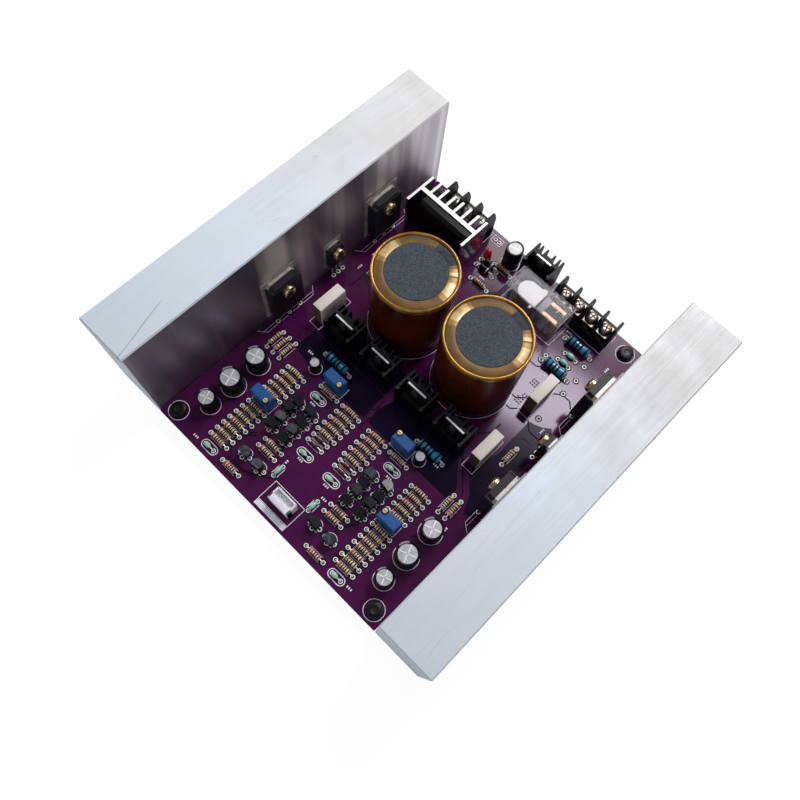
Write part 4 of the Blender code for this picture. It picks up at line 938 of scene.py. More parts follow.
# Dark rings on the blue: flat and nearly black
navy, tree, shader = new_finish("dark_paint_ring", "#10202E", 0.5, 0.0, {"Specular IOR Level": 0.2})
add_grain(tree, shader, ("#04080C", "#0C161E"), 0.8)
dark_rings = [(0.08, 0.16, 1), (0.27, 0.35, 1), (0.42, 0.50, 1), (0.57, 0.65, 1), (0.83, 0.91, 1)]
shape = banded_body(0.0021, 0.00175, 0.0115, dark_rings, 24)
bmesh.ops.translate(shape, vec=(0, 0, 0.0024), verts=shape.verts)
add_leads(shape, pads=0.0145, length=0.0115, height=0.0024, radius=0.00035, finish=2)
show("film_resistors", spread(place_parts(to_mesh(shape), film_resistors)), [teal, navy, tinned])
print("film resistors:", len(film_resistors))

# %% [markdown]
# Diodes. The small ones are glass tubes with a red-brown die inside and a black ring, and the two
# larger ones are black moulded barrels with a pale ring at one end.

# %% Diodes
# Glass over a red die: a dark bead with a sharp highlight
orange_glass, tree, shader = new_finish("diode_glass", "#8C3B24", 0.08, 0.0, {"Coat Weight": 1.0})
add_grain(tree, shader, ("#2C0F0B", "#7E3222"), 0.8)
# Moulded with silica: matt black that swallows light
moulded, tree, shader = new_finish(
    "black_moulded_epoxy", "#0E0F10", 0.38, 0.0, {"Specular IOR Level": 0.22}
)
add_grain(tree, shader, ("#060707", "#0E0F10"), 0.5, bump=0.006)
# Printed ring: a plain pale stripe
band_grey, tree, shader = new_finish("pale_grey_ring", "#B7B9BC", 0.4)
add_grain(tree, shader, ("#A6A8AC", "#C8CACC"), 0.5)
shape = banded_body(0.00085, 0.00082, 0.0038, [(0.70, 0.86, 1)], 14)
bmesh.ops.translate(shape, vec=(0, 0, 0.00115), verts=shape.verts)
add_leads(shape, pads=0.008, length=0.0038, height=0.00115, radius=0.00028, finish=2)
show("glass_diodes", spread(place_parts(to_mesh(shape), glass_diodes)), [orange_glass, black, tinned])
shape = banded_body(0.00135, 0.00135, 0.0052, [(0.74, 0.88, 1)], 20)
bmesh.ops.translate(shape, vec=(0, 0, 0.00165), verts=shape.verts)
add_leads(shape, pads=0.0096, length=0.0052, height=0.00165, radius=0.00035, finish=2)
show("moulded_diodes", spread(place_parts(to_mesh(shape), rectifiers)), [moulded, band_grey, tinned])
print("diodes:", len(glass_diodes) + len(rectifiers))

# %% [markdown]
# Green drops are small ceramic capacitors dipped in mint lacquer. The dip runs a little way down
# one lead, so the drop is fat at one end and drawn out at the other.

# %% Green capacitors
# Mint dip: pale and waxy, the eye finds it at once
mint, tree, shader = new_finish("mint_dipped_lacquer", "#8FCBB0", 0.25, 0.0, {"Coat Weight": 0.4})
add_grain(tree, shader, ("#82C0A4", "#B4E4CE"), 1.4, bump=0.02)


def add_drop(shape, length, radius, shift, neck):
    """Drop along X, drawn out to a neck at its far end."""
    profile = []
    for step in range(13):
        part = step / 12
        swell = math.sin(math.pi * part) ** 0.6 if 0 < part < 1 else 0.0
        size = radius * max(swell * (1 - 0.45 * part * neck), 0.16)
        profile.append((size, (part - 0.5) * length + shift, 0))
    place = Matrix.Translation((0, 0, 0.00105)) @ ALONG_X
    add_turned(shape, profile, place, 18)


shape = bmesh.new()
add_drop(shape, 0.0036, 0.0014, -0.0008, 1.0)
add_wire(
    shape, [(0.0006, 0, 0.001), (0.0017, 0, 0.00085), (0.0023, 0, 0.0003), (0.0023, 0, -0.0003)], 0.00026, 1
)
add_wire(shape, [(-0.0016, 0, 0.0009), (-0.0022, 0, 0.0006), (-0.0023, 0, -0.0003)], 0.00026, 1)
one_sided = to_mesh(shape)
shape = bmesh.new()
add_drop(shape, 0.0044, 0.0012, 0.0, 0.25)
for side in (-1, 1):
    add_wire(
        shape, [(side * 0.0018, 0, 0.001), (side * 0.0024, 0, 0.0007), (side * 0.0026, 0, -0.0003)],
        0.00026, 1
    )
centred = to_mesh(shape)
show(
    "green_capacitors", spread(place_parts(one_sided, drops) + place_parts(centred, long_drops)),
    [mint, tinned]
)
print("green capacitors:", len(drops) + len(long_drops))

# %% [markdown]
# Small transistors: moulded half rounds on three legs. The mould leaves a slight taper from its
# parting line, a flat face and a soft top edge. The body is four rings of one outline, joined up.

# %% Half round body
def half_round(radius, flat, steps=12):
    """Outline of a half round body with its flat at the front."""
    points = [(-radius * 0.92, flat), (radius * 0.92, flat)]
    for step in range(steps + 1):
        angle = math.radians(-14 + step * 208 / steps)
        points.append((radius * math.cos(angle), flat + radius * 0.62 + radius * 0.92 * math.sin(angle)))
    return points


# A top painted grey as a painted reflection of the pale room, on a black body
top_reflection, tree, shader = new_finish("moulded_top_painted_reflection", "#3C4246", 0.3, 0.0)
add_grain(tree, shader, ("#1A1F22", "#4C5458"), 1.6, bump=0.006)
# Polished mould: black with small clear highlights
glossy_mould, tree, shader = new_finish(
    "glossy_black_epoxy", "#0A0B0C", 0.2, 0.0, {"Specular IOR Level": 0.45}
)
add_grain(tree, shader, ("#060708", "#0F1112"), 0.8, bump=0.004)
shape = bmesh.new()
outline = half_round(0.00262, -0.0019)
bottom, middle, upper, top = [], [], [], []
for x, y in outline:
    bottom.append(shape.verts.new((x * 0.95, y * 0.95, 0.0012)))
    middle.append(shape.verts.new((x, y, 0.0033)))
    upper.append(shape.verts.new((x * 0.96, y * 0.96, 0.0052)))
    top.append(shape.verts.new((x * 0.9, y * 0.9, 0.0055)))
for lower_ring, upper_ring in ((bottom, middle), (middle, upper), (upper, top)):
    for step in range(len(outline)):
        after = (step + 1) % len(outline)
        side = shape.faces.new((lower_ring[step], lower_ring[after], upper_ring[after], upper_ring[step]))
        side.material_index = 1 if upper_ring is top and step == 0 else 0
shape.faces.new(bottom[::-1])
shape.faces.new(top).material_index = 1
print("half round points:", len(outline))

# %% [markdown]
# The legs spread to three holes. A quarter of the bodies get a painted reflection on their tops.
# Hand soldered parts never stand quite straight, so each leans and turns by a small random amount.

# %% Small transistors
LEAN, TWIST, DRIFT = 9, 14, 0.3
for leg in ((-1.27, -2.4, -0.6), (0.0, 0.0, -2.0), (1.27, 2.5, -0.2)):
    start, end_x, end_y = (value * MM for value in leg)
    path = [(start, 0, 0.0016), (start, -0.0003, 0.0009), (end_x, end_y, 0.0003), (end_x, end_y, -0.0003)]
    add_wire(shape, path, 0.00024, 2, 6)
half_can = to_mesh(shape)
dark_can = half_can.copy()
for face in dark_can.polygons:
    face.material_index = 0 if face.material_index == 1 else face.material_index
leaning = []
for x, y, _ in transistors:
    lean = Matrix.Rotation(math.radians(random.uniform(-LEAN, LEAN)), 4, "X")
    lean = lean @ Matrix.Rotation(math.radians(random.uniform(-LEAN, LEAN)), 4, "Y")
    twist = random.uniform(-TWIST, TWIST)
    # A quarter get the body with the painted reflection on its top
    body = half_can if random.random() < 0.25 else dark_can
    x += random.uniform(-DRIFT, DRIFT)
    y += random.uniform(-DRIFT, DRIFT)
    leaning.append((body, at(x * MM, y * MM, BOARD_TOP, twist) @ lean))
show("small_transistors", spread(leaning), [glossy_mould, top_reflection, tinned])
print("small transistors:", len(transistors))

# %% [markdown]
# Electrolytic capacitors. An aluminium can is rolled shut on a rubber plug, which leaves a groove
# near its foot, and a shrink sleeve is pulled over it and rolls over the rim. The bare top has a
# scored cross that opens under pressure. A grey stripe marks the negative side.

# %% Sleeved capacitors
# Shrunk film: black with a slight ripple
sleeve, tree, shader = new_finish("black_shrink_sleeve", "#0B0B0D", 0.3, 0.0, {"Specular IOR Level": 0.2})
add_grain(tree, shader, ("#050506", "#0B0B0D"), 4, bump=0.01)
# Printed stripe on the sleeve: plain grey
stripe, tree, shader = new_finish("grey_sleeve_stripe", "#8E949A", 0.35)
add_grain(tree, shader, ("#80868C", "#9CA2A8"), 2)
# Pressed metal seen straight on: a soft pale grey
can_top, tree, shader = new_finish("pressed_aluminium_top", "#B4B6B9", 0.5, 0.4)
add_grain(tree, shader, ("#A6A8AB", "#CBCDCF"), 1.8, rough=(0.45, 0.6), bump=0.02)
# Scored cross: the groove painted white as its highlight, a line that shines white
score_highlight, tree, shader = new_finish("score_painted_highlight", "#FAFAFA", 0.45, 0.2)
add_grain(tree, shader, ("#EDEDED", "#FFFFFF"), 0.8)
print("sleeve finishes ready")

# %% [markdown]
# The can is one turned profile from the foot, over the rim, to the middle of the top. The scored
# cross is thin bars let into the top, and the stripe is a share of the turn, from 0.33 to 0.50.

# %% Cans in every place
def sleeved_can(radius, height, steps=40, cross=2):
    """Small electrolytic capacitor standing at z = 0, with its stripe to the left and back."""
    r, h = radius, height
    profile = [
        (r * 0.93, 0.0, 0), (r * 0.99, 0.0003, 0), (r, 0.0007, 0), (r * 0.99, 0.0011, 0),
        (r * 0.94, 0.0014, 0), (r * 0.94, 0.0017, 0), (r * 0.99, 0.0020, 0), (r, 0.0024, 0),
        (r, h - 0.0006, 0), (r * 0.985, h - 0.0002, 0), (r * 0.95, h, 0), (r * 0.84, h, 0),
        (r * 0.78, h - 0.0001, 0), (r * 0.76, h - 0.00025, 1), (r * 0.4, h - 0.00022, 1),
    ]
    shape = bmesh.new()
    add_turned(shape, profile, None, steps, (0.33, 0.50, 1, 11, 3))
    for number in range(cross):
        line = bmesh.new()
        # The scored cross carries the painted highlight
        add_block(line, (1.5 * r, 0.00042, 0.00008), (0, 0, h - 0.0002), 2)
        line.transform(Matrix.Rotation(math.radians(20 + number * 90), 4, "Z"))
        join(shape, line)
    return to_mesh(shape)


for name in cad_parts:
    if name.startswith(("electrolytic", "relay_supply")):
        low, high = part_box(name)
        can = sleeved_can((high.x - low.x) / 2, high.z - low.z, cross=1 if "supply" in name else 2)
        can.transform(at(*middle_of(low, high), low.z))
        show(name + "_can", can, [sleeve, can_top, score_highlight, stripe], instead_of=[name])
smallest = sleeved_can(0.0025, 0.0061, steps=28, cross=0)
show(
    "smallest_capacitors", spread(place_parts(smallest, small_capacitors)), [sleeve, can_top, score_highlight, stripe]
)
print("cans dressed")

# %% [markdown]
# Reservoir capacitors. A clear amber film is shrunk over the can, so the side is deep brown and
# glassy and the rolled rim shines like gold. On top the film ends at a grey fibre disc, and a slate
# strip of the sleeve's print crosses it. The film could be a clear shell over a printed can, but
# under a hard shrink nothing lies between them, so one opaque finish per stretch looks the same.

# %% Film, disc and strip finishes
# Clear brown film on the can: deep red brown, dark at its edges
amber, tree, shader = new_finish(
    "amber_shrink_film_side", "#4A1E0E", 0.25, 0.0, {"Specular IOR Level": 0.25}
)
add_grain(tree, shader, ("#2C1006", "#572210"), 16, bump=0.012)
# Film rolled over the rim: a thin gold ring with sharp lights
gold_lip, tree, shader = new_finish("gold_rolled_film_rim", "#A8701E", 0.26, 0.6, {"Coat Weight": 0.4})
add_grain(tree, shader, ("#86601A", "#BC8828"), 5, bump=0.01)
# Fold beside the rim and the disc: a thin brown line of painted shade in the crease
crease_shade, tree, shader = new_finish("film_crease_painted_shade", "#4A2E10", 0.3, 0.2)
add_grain(tree, shader, ("#3A220A", "#5E3C18"), 2)
# Film over metal: dark olive gold, cloudy over 4 mm
gold_top, tree, shader = new_finish("gold_creased_film_top", "#7A5624", 0.5, 0.35)
where = add_node(tree, "TexCoord")
clouds = add_node(tree, "TexNoise", {"Scale": 260, "Detail": 4}, {"Vector": where.outputs["Object"]})
tone = add_node(tree, "Mix", {"data_type": "RGBA"}, {"Factor": clouds.outputs["Fac"]})
tone.inputs[6].default_value = linear("#463109")
tone.inputs[7].default_value = linear("#785610")
tree.links.new(tone.outputs[2], shader.inputs["Base Color"])
# Painted glare on the film: a straw coloured wedge
pale_glare, tree, shader = new_finish("film_painted_glare", "#D2B88A", 0.35, 0.2)
add_grain(tree, shader, ("#B08E54", "#DABD82"), 3, bump=0.02)
# Softer painted glare beside it: halfway between gold and straw
soft_glare, tree, shader = new_finish("film_painted_soft_glare", "#9C7A44", 0.4, 0.3)
add_grain(tree, shader, ("#7E5C24", "#A27C3C"), 3, bump=0.02)
# Pressed fibre: grey felt with a clear grain and no gloss
fibre, tree, shader = new_finish("grey_fibre_disc", "#41484D", 0.8, 0.0, {"Specular IOR Level": 0.2})
# The fibre's grain is about 0.3 mm and is drawn at 0.45 mm
add_grain(tree, shader, ("#2C3236", "#565E63"), 0.45, bump=0.03, detail=6)
# Strip of the printed sleeve: dark slate
slate, tree, shader = new_finish("slate_sleeve_print", "#2E3840", 0.6, 0.0, {"Specular IOR Level": 0.2})
add_grain(tree, shader, ("#1B2228", "#39434B"), 2, bump=0.01)
# Print under the film: dark marks, soft at this size
film_print, tree, shader = new_finish("dark_film_print", "#2A2014", 0.5)
add_grain(tree, shader, ("#1E170E", "#3A2E1E"), 0.8)
print("film finishes ready")

# %% [markdown]
# The film's creases run out from the middle and catch the light, and that glare is painted: each
# is a wedge between two angles, wide pale ones with a softer one on either side.

# %% Reservoir form
glare_wedges = [
    (355, 360, 7), (0, 3, 7), (3, 27, 6), (27, 35, 7), (40, 45, 6), (45, 52, 7), (158, 164, 7),
    (164, 197, 6), (197, 206, 7),
]


def reservoir(radius, height, first_angle, last_angle):
    """Can with its rolled rim, and a slate strip across the film between two angles in degrees."""
    r, h = radius, height
    profile = [
        (r * 0.96, 0.0, 0), (r * 0.99, 0.0006, 0), (r, 0.0016, 0), (r, 0.003, 0), (r * 0.992, 0.0045, 0),
        (r, 0.006, 0), (r, h - 0.0022, 0), (r, h - 0.0010, 1),
    ]
    for step in range(1, 10):
        angle = math.radians(step * 20)
        profile.append((r - 0.0006 + 0.0006 * math.cos(angle), h - 0.0006 + 0.0006 * math.sin(angle), 1))
    profile += [
        (r - 0.0014, h - 0.0008, 5), (r - 0.0017, h - 0.0007, 2), (r * 0.8, h - 0.0006, 2),
        (r * 0.722, h - 0.0005, 2), (r * 0.715, h - 0.00055, 5), (r * 0.70, h - 0.0003, 3),
        (r * 0.3, h - 0.00028, 3),
    ]
    shape = bmesh.new()
    last = len(profile) - 3
    add_turned(shape, profile, None, 120, (first_angle / 360, last_angle / 360, last - 5, last, 4))
    # Faces inside a wedge get the painted glare
    for face in shape.faces:
        if face.material_index == 2:
            middle = face.calc_center_median()
            turn = math.degrees(math.atan2(middle.y, middle.x)) % 360
            for low_turn, high_turn, finish in glare_wedges:
                if low_turn <= turn < high_turn:
                    face.material_index = finish
    return to_mesh(shape)


print("wedges:", len(glare_wedges))

# %% [markdown]
# The print under the film becomes plain dark dashes in two short rows. The slate strip is a little
# wider on the left can than on the right one.

# %% Reservoir capacitors
film_finishes = [amber, gold_lip, gold_top, fibre, slate, crease_shade, pale_glare, soft_glare]
strips = {"reservoir_capacitor_left": (57, 97), "reservoir_capacitor_right": (57, 90)}
for name, (first_angle, last_angle) in strips.items():
    low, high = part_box(name)
    can = reservoir((high.x - low.x) / 2, high.z - low.z, first_angle, last_angle)
    can.transform(at(*middle_of(low, high), low.z))
    dashes = bmesh.new()
    for reach, turns in ((0.87, range(104, 150, 3)), (0.79, range(112, 140, 4))):
        for turn in turns:
            dash = bmesh.new()
            centre = ((high.x - low.x) / 2 * reach, 0, high.z - 0.00056)
            add_block(dash, (0.0009, 0.0004, 0.00004), centre)
            dash.transform(at(*middle_of(low, high), 0, turn))
            join(dashes, dash)
    show(name + "_print", to_mesh(dashes), [film_print])
    show(name + "_can", can, film_finishes, instead_of=[name])
print("reservoir capacitors:", len(strips))

# %% [markdown]
# Heatsink finishes. The black ones are anodised after cutting, and the rectifier's is bright, with
# sawn ends that shine white. Drawing lines run up the fins, so their noise is stretched upward.

# %% Heatsink finishes
# Dyed oxide: black, it hides its own fins
anodised, tree, shader = new_finish(
    "black_anodised_aluminium", "#0A0B0C", 0.45, 0.0, {"Specular IOR Level": 0.15}
)
add_grain(tree, shader, ("#040505", "#090A0B"), 1.5, stretch=(1, 1, 0.05), bump=0.01)
# Upward end of the black extrusion: painted a shade lighter, as lit from above, so it draws the fins
anodised_lit_top, tree, shader = new_finish(
    "black_anodised_painted_lit_top", "#1C1E21", 0.5, 0.0, {"Specular IOR Level": 0.2}
)
add_grain(tree, shader, ("#141517", "#232629"), 0.8, bump=0.01)
# Bright wings: they mirror the purple board
extruded, tree, shader = new_finish("bright_extruded_aluminium", "#B9B4BE", 0.22, 1.0)
add_grain(tree, shader, ("#A49FAA", "#CFCBD4"), 2, stretch=(1, 1, 0.04), bump=0.012, rough=(0.16, 0.3))
# Sawn end: fine teeth marks scatter light to white
sawn, tree, shader = new_finish("sawn_aluminium_end", "#F2F1EE", 0.5, 0.35)
add_grain(tree, shader, ("#E6E4E0", "#FBFAF8"), 0.6, bump=0.01)
print("heatsink finishes ready")

# %% [markdown]
# Finned heatsinks are cut from long extrusions, so each is one outline pulled straight up: two
# wings with thick front ends, a plate, and fins behind. Blocks side by side would leave faces
# inside, and one outline has none.

# %% Finned heatsinks
def fin_outline(width, front, back, wall, plate, fins, fin_wall, nub, boss):
    """Outline of a heatsink extrusion, the front of its plate on y = 0, with rounded front nubs."""
    half = width / 2
    right_half = [(half, back), (half, -front)]
    if nub:
        right_half += [
            (half - nub * 0.5, -front), (half - nub, nub * 0.4 - front), (half - nub, nub - front),
            (half - wall, nub - front),
        ]
    else:
        right_half.append((half - wall, -front))
    right_half.append((half - wall, 0.0))
    points = list(right_half) + [(-x, y) for x, y in reversed(right_half)]
    points += [(wall - half, back), (wall - half, plate)]
    middle = len(fins) // 2 - 1
    for number, x in enumerate(fins):
        low_left = boss if boss and number == middle + 1 else plate
        low_right = boss if boss and number == middle else plate
        left, right_side = x - fin_wall / 2, x + fin_wall / 2
        points += [(left, low_left), (left, back), (right_side, back), (right_side, low_right)]
    points += [(half - wall, plate), (half - wall, back)]
    return points


SMALL_WIDTH = 0.0146
small_fins = [share * SMALL_WIDTH for share in (-0.33, -0.14, 0.14, 0.33)]
small_outline = fin_outline(
    SMALL_WIDTH, front=0.0062, back=0.0052, wall=0.0010, plate=0.0014,
    fins=small_fins, fin_wall=0.0008, nub=0.0016, boss=0.0026,
)
small_sinks = ["driver_heatsink_" + number for number in "1234"] + ["regulator_heatsink"]
for name in small_sinks:
    low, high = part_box(name)
    shape = bmesh.new()
    add_slab(shape, small_outline, low.z, high.z, 0, at((low.x + high.x) / 2, high.y - 0.0052), 1)
    show(
        name + "_extrusion", to_mesh(shape), [anodised, anodised_lit_top], instead_of=[name],
    )
name = "rectifier_heatsink"
low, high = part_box(name)
width = high.x - low.x
pitch = width / 7.35
outline = fin_outline(
    width, front=0.0079, back=0.0086, wall=0.0012, plate=0.0020,
    fins=[(number - 2.5) * pitch for number in range(6)], fin_wall=0.0012, nub=0.0, boss=0.0,
)
shape = bmesh.new()
add_slab(shape, outline, low.z, high.z, 0, at((low.x + high.x) / 2, high.y - 0.0086), 1)
show(name + "_extrusion", to_mesh(shape), [extruded, sawn], instead_of=[name])
print("fin pitch of the rectifier's heatsink in mm:", round(pitch / MM, 2))

# %% [markdown]
# Cross slotted pan screws hold the power parts and the terminals. The recess is pressed in while the
# head is formed. The head is turned, and its recess is two crossed dark bars let into the top. A
# cut recess would need a boolean for every screw, and from here it would look the same.

# %% Screw finishes and head
# Nickel over steel: a warm grey mirror, dull in its middle
nickel, tree, shader = new_finish("nickel_plated_steel", "#A9A198", 0.24, 1.0)
add_grain(tree, shader, ("#625C56", "#989289"), 0.9, rough=(0.28, 0.42))
# Yellow passivated zinc: pale brass with dark reflections
zinc, tree, shader = new_finish("yellow_zinc_plated_steel", "#C9A876", 0.25, 1.0)
add_grain(tree, shader, ("#B08C5C", "#E6CFA2"), 0.9, rough=(0.18, 0.35))
# Oiled oxide: black, a faint sheen on its edges
oxide, tree, shader = new_finish("black_oxide_steel", "#0D0E0F", 0.4, 0.0, {"Specular IOR Level": 0.25})
add_grain(tree, shader, ("#050606", "#0D0F10"), 0.9, rough=(0.32, 0.45))
# Inside of a recess: brown black
recess, tree, shader = new_finish("screw_recess_shadow", "#1A1712", 0.4, 0.4)
add_grain(tree, shader, ("#120F0C", "#28231C"), 0.4)


def pan_head(radius, height, place, shape, finish, dark, spin=0.0):
    """Domed head standing on z = 0 with a crossed recess."""
    profile = [(radius, 0.0, finish)]
    for step in range(7):
        angle = math.radians(step * 13.5)
        dome_radius = radius * (0.35 + 0.65 * math.cos(angle))
        profile.append((dome_radius, height * (0.35 + 0.65 * math.sin(angle)), finish))
    add_turned(shape, profile, place, 28)
    for number in range(2):
        bar = bmesh.new()
        size = (radius * 1.05, radius * 0.24, height * 0.12)
        add_block(bar, size, (0, 0, height * 0.965), dark, radius * 0.03, 1)
        bar.transform(place @ Matrix.Rotation(math.radians(spin + 90 * number), 4, "Z"))
        join(shape, bar)


print("screws ready")

# %% [markdown]
# Power transistors on the bars: a moulded body on a copper tab, a screw through both, and a thin
# insulating sheet behind that stands out all round. Each layer is one outline with cut upper
# corners, pulled a little further from the bar than the one behind it.

# %% Upright plates
# Moulded power body: dark slate, its chamfers show as grey lines
slate_mould, tree, shader = new_finish(
    "slate_moulded_epoxy", "#15171A", 0.45, 0.0, {"Specular IOR Level": 0.3}
)
add_grain(tree, shader, ("#101214", "#1D2024"), 0.7, bump=0.008)
# Tinned edge of a thick copper plate: satin grey
tab_metal, tree, shader = new_finish("tinned_copper_tab", "#A39F98", 0.45, 0.4)
add_grain(tree, shader, ("#9A9488", "#CDC8BE"), 2, rough=(0.34, 0.5))
# Silicone sheet: thin and grey, the bar shows through a little
mica, tree, shader = new_finish("grey_insulating_sheet", "#9C978E", 0.35, 0.0, {"Alpha": 0.75})
add_grain(tree, shader, ("#87827A", "#B5B0A8"), 3, bump=0.01)


def add_upright(shape, width, low_z, high_z, corner, front, back, finish, place):
    """Standing plate with cut upper corners, between a front and a back along Y."""
    half = width / 2
    outline = [
        (-half, low_z), (half, low_z), (half, high_z - corner), (half - corner, high_z),
        (corner - half, high_z), (-half, high_z - corner),
    ]
    add_slab(shape, outline, -back, -front, finish, place @ FACE_FRONT)


print("upright plate ready")

# %% [markdown]
# The body has a step at its shoulders, and a thick metal edge shows above it. Legs run straight
# down to the board, and the screw sits on a plain washer. The two sizes share one helper.

# %% Bar transistors
def bar_transistor(width, low_z, high_z, tab_z, depth, tab, screw_z, pitch, leg, sheet, place):
    """Transistor with its back on y = 0 and its sheet as (width, low, high)."""
    shape = bmesh.new()
    add_upright(shape, width, low_z, high_z - 0.0012, 0.0006, -0.0003 - depth, -0.0002, 0, place)
    add_upright(
        shape, width * 0.86, low_z + 0.0004, high_z, width * 0.08, -0.0002 - depth * 0.94, -0.0003, 0, place
    )
    add_upright(shape, width - 0.0012, low_z + 0.001, tab_z, width * 0.1, -0.0002 - tab, -0.0002, 1, place)
    add_upright(shape, sheet[0], sheet[1], sheet[2], 0.0002, -0.0004, 0.0, 2, place)
    for number in (-1, 0, 1):
        x = number * pitch
        y = -0.0002 - leg
        centre = place @ Vector((x, y, (low_z + 0.0006) / 2))
        side = place.to_3x3() @ Vector((0.0011 if width > 0.01 else 0.0008, 0.0006, 0))
        add_block(shape, (abs(side.x), abs(side.y), low_z), centre, 1, 0.0001, 1)
    face = place @ Matrix.Translation((0, -0.0003 - depth, screw_z)) @ FACE_FRONT
    washer = [(0.0029, -0.0001, 3), (0.0029, 0.0003, 3), (0.0021, 0.0005, 3)]
    add_turned(shape, washer, face, 24)
    pan_head(0.0030, 0.0020, face @ Matrix.Translation((0, 0, 0.0004)), shape, 3, 4, 25)
    return to_mesh(shape)


BIG = {
    "width": 0.0156, "low_z": 0.005, "high_z": 0.0245, "tab_z": 0.025, "depth": 0.0048, "tab": 0.0016,
    "screw_z": 0.0195, "pitch": 0.00545, "leg": 0.003, "sheet": (0.019, 0.003, 0.0262),
}
SMALL = {
    "width": 0.008, "low_z": 0.0066, "high_z": 0.0174, "tab_z": 0.0177, "depth": 0.0032, "tab": 0.001,
    "screw_z": 0.014, "pitch": 0.0023, "leg": 0.0017, "sheet": (0.01, 0.005, 0.019),
}
power_finishes = [slate_mould, tab_metal, mica, zinc, recess]
for side, turned_by in (("left", 90), ("right", -90)):
    face_x = -0.063 if side == "left" else 0.063
    face_x += 0.0003 if side == "left" else -0.0003
    for name, y, sizes in (
        ("output_transistor_" + side + "_front", -0.0142, BIG),
        ("output_transistor_" + side + "_back", 0.0441, BIG),
        ("bias_transistor_" + side, 0.0152, SMALL),
    ):
        mesh = bar_transistor(**sizes, place=at(face_x, y, BOARD_TOP, turned_by))
        show(name + "_dressed", mesh, power_finishes, instead_of=[name])
print("bar transistor widths in mm:", BIG["width"] / MM, SMALL["width"] / MM)

# %% [markdown]
# Driver transistors and the regulator have a bare tab above the body. It is stamped; its face is
# painted dark as the fins' shadow, and its top edge is painted white as a highlight, which reads as a
# white line from above.

# %% Tab transistors
# Upright tab in the fins' shadow: painted shadow, dark and dull
shaded_tab, tree, shader = new_finish("tab_painted_shadow", "#22211F", 0.5, 0.5)
add_grain(tree, shader, ("#161514", "#2A2826"), 2, bump=0.01)
# Upper edge: a painted highlight, a thin white line from above
tab_edge_highlight, tree, shader = new_finish("tab_edge_painted_highlight", "#FFFFFF", 0.4, 0.2)
add_grain(tree, shader, ("#F4F3F1", "#FFFFFF"), 0.5)
tab_finishes = [moulded, shaded_tab, oxide, nickel, recess, tab_edge_highlight]
WIDE = 0.0102
for name in (
    "driver_transistor_1", "driver_transistor_2", "driver_transistor_3", "driver_transistor_4", "regulator"
):
    low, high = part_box(name)
    place = at((low.x + high.x) / 2, high.y, BOARD_TOP)
    trim = 0.0011 if name == "regulator" else 0.0003
    shape = bmesh.new()
    add_upright(shape, WIDE, 0.0012, 0.0091, 0.0003, -0.0044, -0.0002, 0, place)
    add_upright(shape, 0.0096, 0.0014, 0.0095, 0.0004, -0.0042, -0.0003, 0, place)
    add_upright(shape, WIDE, 0.0022, 0.0154, trim, -0.0013, 0.0, 1, place)
    add_upright(shape, WIDE - 2 * trim, 0.0152, 0.0156, 0.0001, -0.0009, -0.0002, 5, place)
    for number in (-1, 0, 1):
        centre = place @ Vector((number * 0.00254, -0.0024, 0.001))
        add_block(shape, (0.0008, 0.0006, 0.0014), centre, 1, 0.0001, 1)
    face = place @ Matrix.Translation((0, -0.0013, 0.0127)) @ FACE_FRONT
    pan_head(0.0026, 0.0018, face, shape, 2, 4, 20)
    show(name + "_dressed", to_mesh(shape), tab_finishes, instead_of=[name])
print("tab transistor width in mm:", WIDE / MM)

# %% [markdown]
# Bridge rectifier: one long black block with a chamfer along its top front edge, leaning on nothing
# and screwed to its heatsink. The chamfer shows as a grey line.

# %% Bridge rectifier
low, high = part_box("bridge_rectifier")
depth, tall = high.y - low.y, high.z - low.z
side_view = [
    (-depth, 0.0), (0.0, 0.0), (0.0, tall - 0.0002), (-0.0002, tall), (-depth * 0.66, tall),
    (-depth * 0.72, tall - 0.0002), (-depth, tall * 0.93),
]
shape = bmesh.new()
stand = at((low.x + high.x) / 2, high.y, low.z) @ Matrix.Rotation(math.radians(90), 4, "Z") @ FACE_FRONT
half = (high.x - low.x) / 2
add_slab(shape, side_view, -half, half, 0, stand)
for number in range(4):
    centre = ((low.x + high.x) / 2 + (number - 1.5) * 0.006, low.y + depth / 2, BOARD_TOP)
    add_block(shape, (0.001, 0.0008, 0.0009), centre, 1, 0.0001, 1)
show(
    "bridge_rectifier_block", to_mesh(shape), [moulded, tab_metal], instead_of=["bridge_rectifier"],
)
print("bridge height in mm:", round(tall / MM, 1))

# %% [markdown]
# Cement resistors: a fired ceramic trough filled with cement. The trough is cream and matt with a
# fine grit, so its colour varies a little and its corners are soft. Its front end face is painted
# dark brown as painted shade.

# %% Emitter resistors
# Fired trough: cream and chalky, soft at its corners
ceramic, tree, shader = new_finish("fired_cream_ceramic", "#E9E4DA", 0.78)
add_grain(tree, shader, ("#E2DCCF", "#EFEAE0"), 0.7, bump=0.006)
# Front end face: painted shade, rough and brown
front_end_shade, tree, shader = new_finish("front_end_painted_shade", "#5A4A3C", 0.85)
add_grain(tree, shader, ("#473A2E", "#6E5C4B"), 0.7, bump=0.03)
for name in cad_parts:
    if name.startswith("emitter_resistor"):
        low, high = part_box(name)
        centre = (low + high) / 2
        shape = bmesh.new()
        add_block(
            shape, high - low - Vector((0, 0, 0.0001)), centre - Vector((0, 0, 0.00005)), 0, 0.0004, 3
        )
        lid = (high.x - low.x - 0.0014, high.y - low.y - 0.0014, 0.0004)
        add_block(shape, lid, (centre.x, centre.y, high.z - 0.0002), 0, 0.00015, 2)
        # The front end face gets the painted shade
        for face in shape.faces:
            if face.normal.y < -0.9:
                face.material_index = 2
        for end in (-1, 1):
            y = centre.y + end * 0.0065
            add_wire(shape, [(centre.x, y, low.z + 0.001), (centre.x, y, BOARD_TOP - 0.0002)], 0.0004, 1)
        show(name + "_block", to_mesh(shape), [ceramic, tinned, front_end_shade], instead_of=[name])
print("emitter resistors dressed: 4")
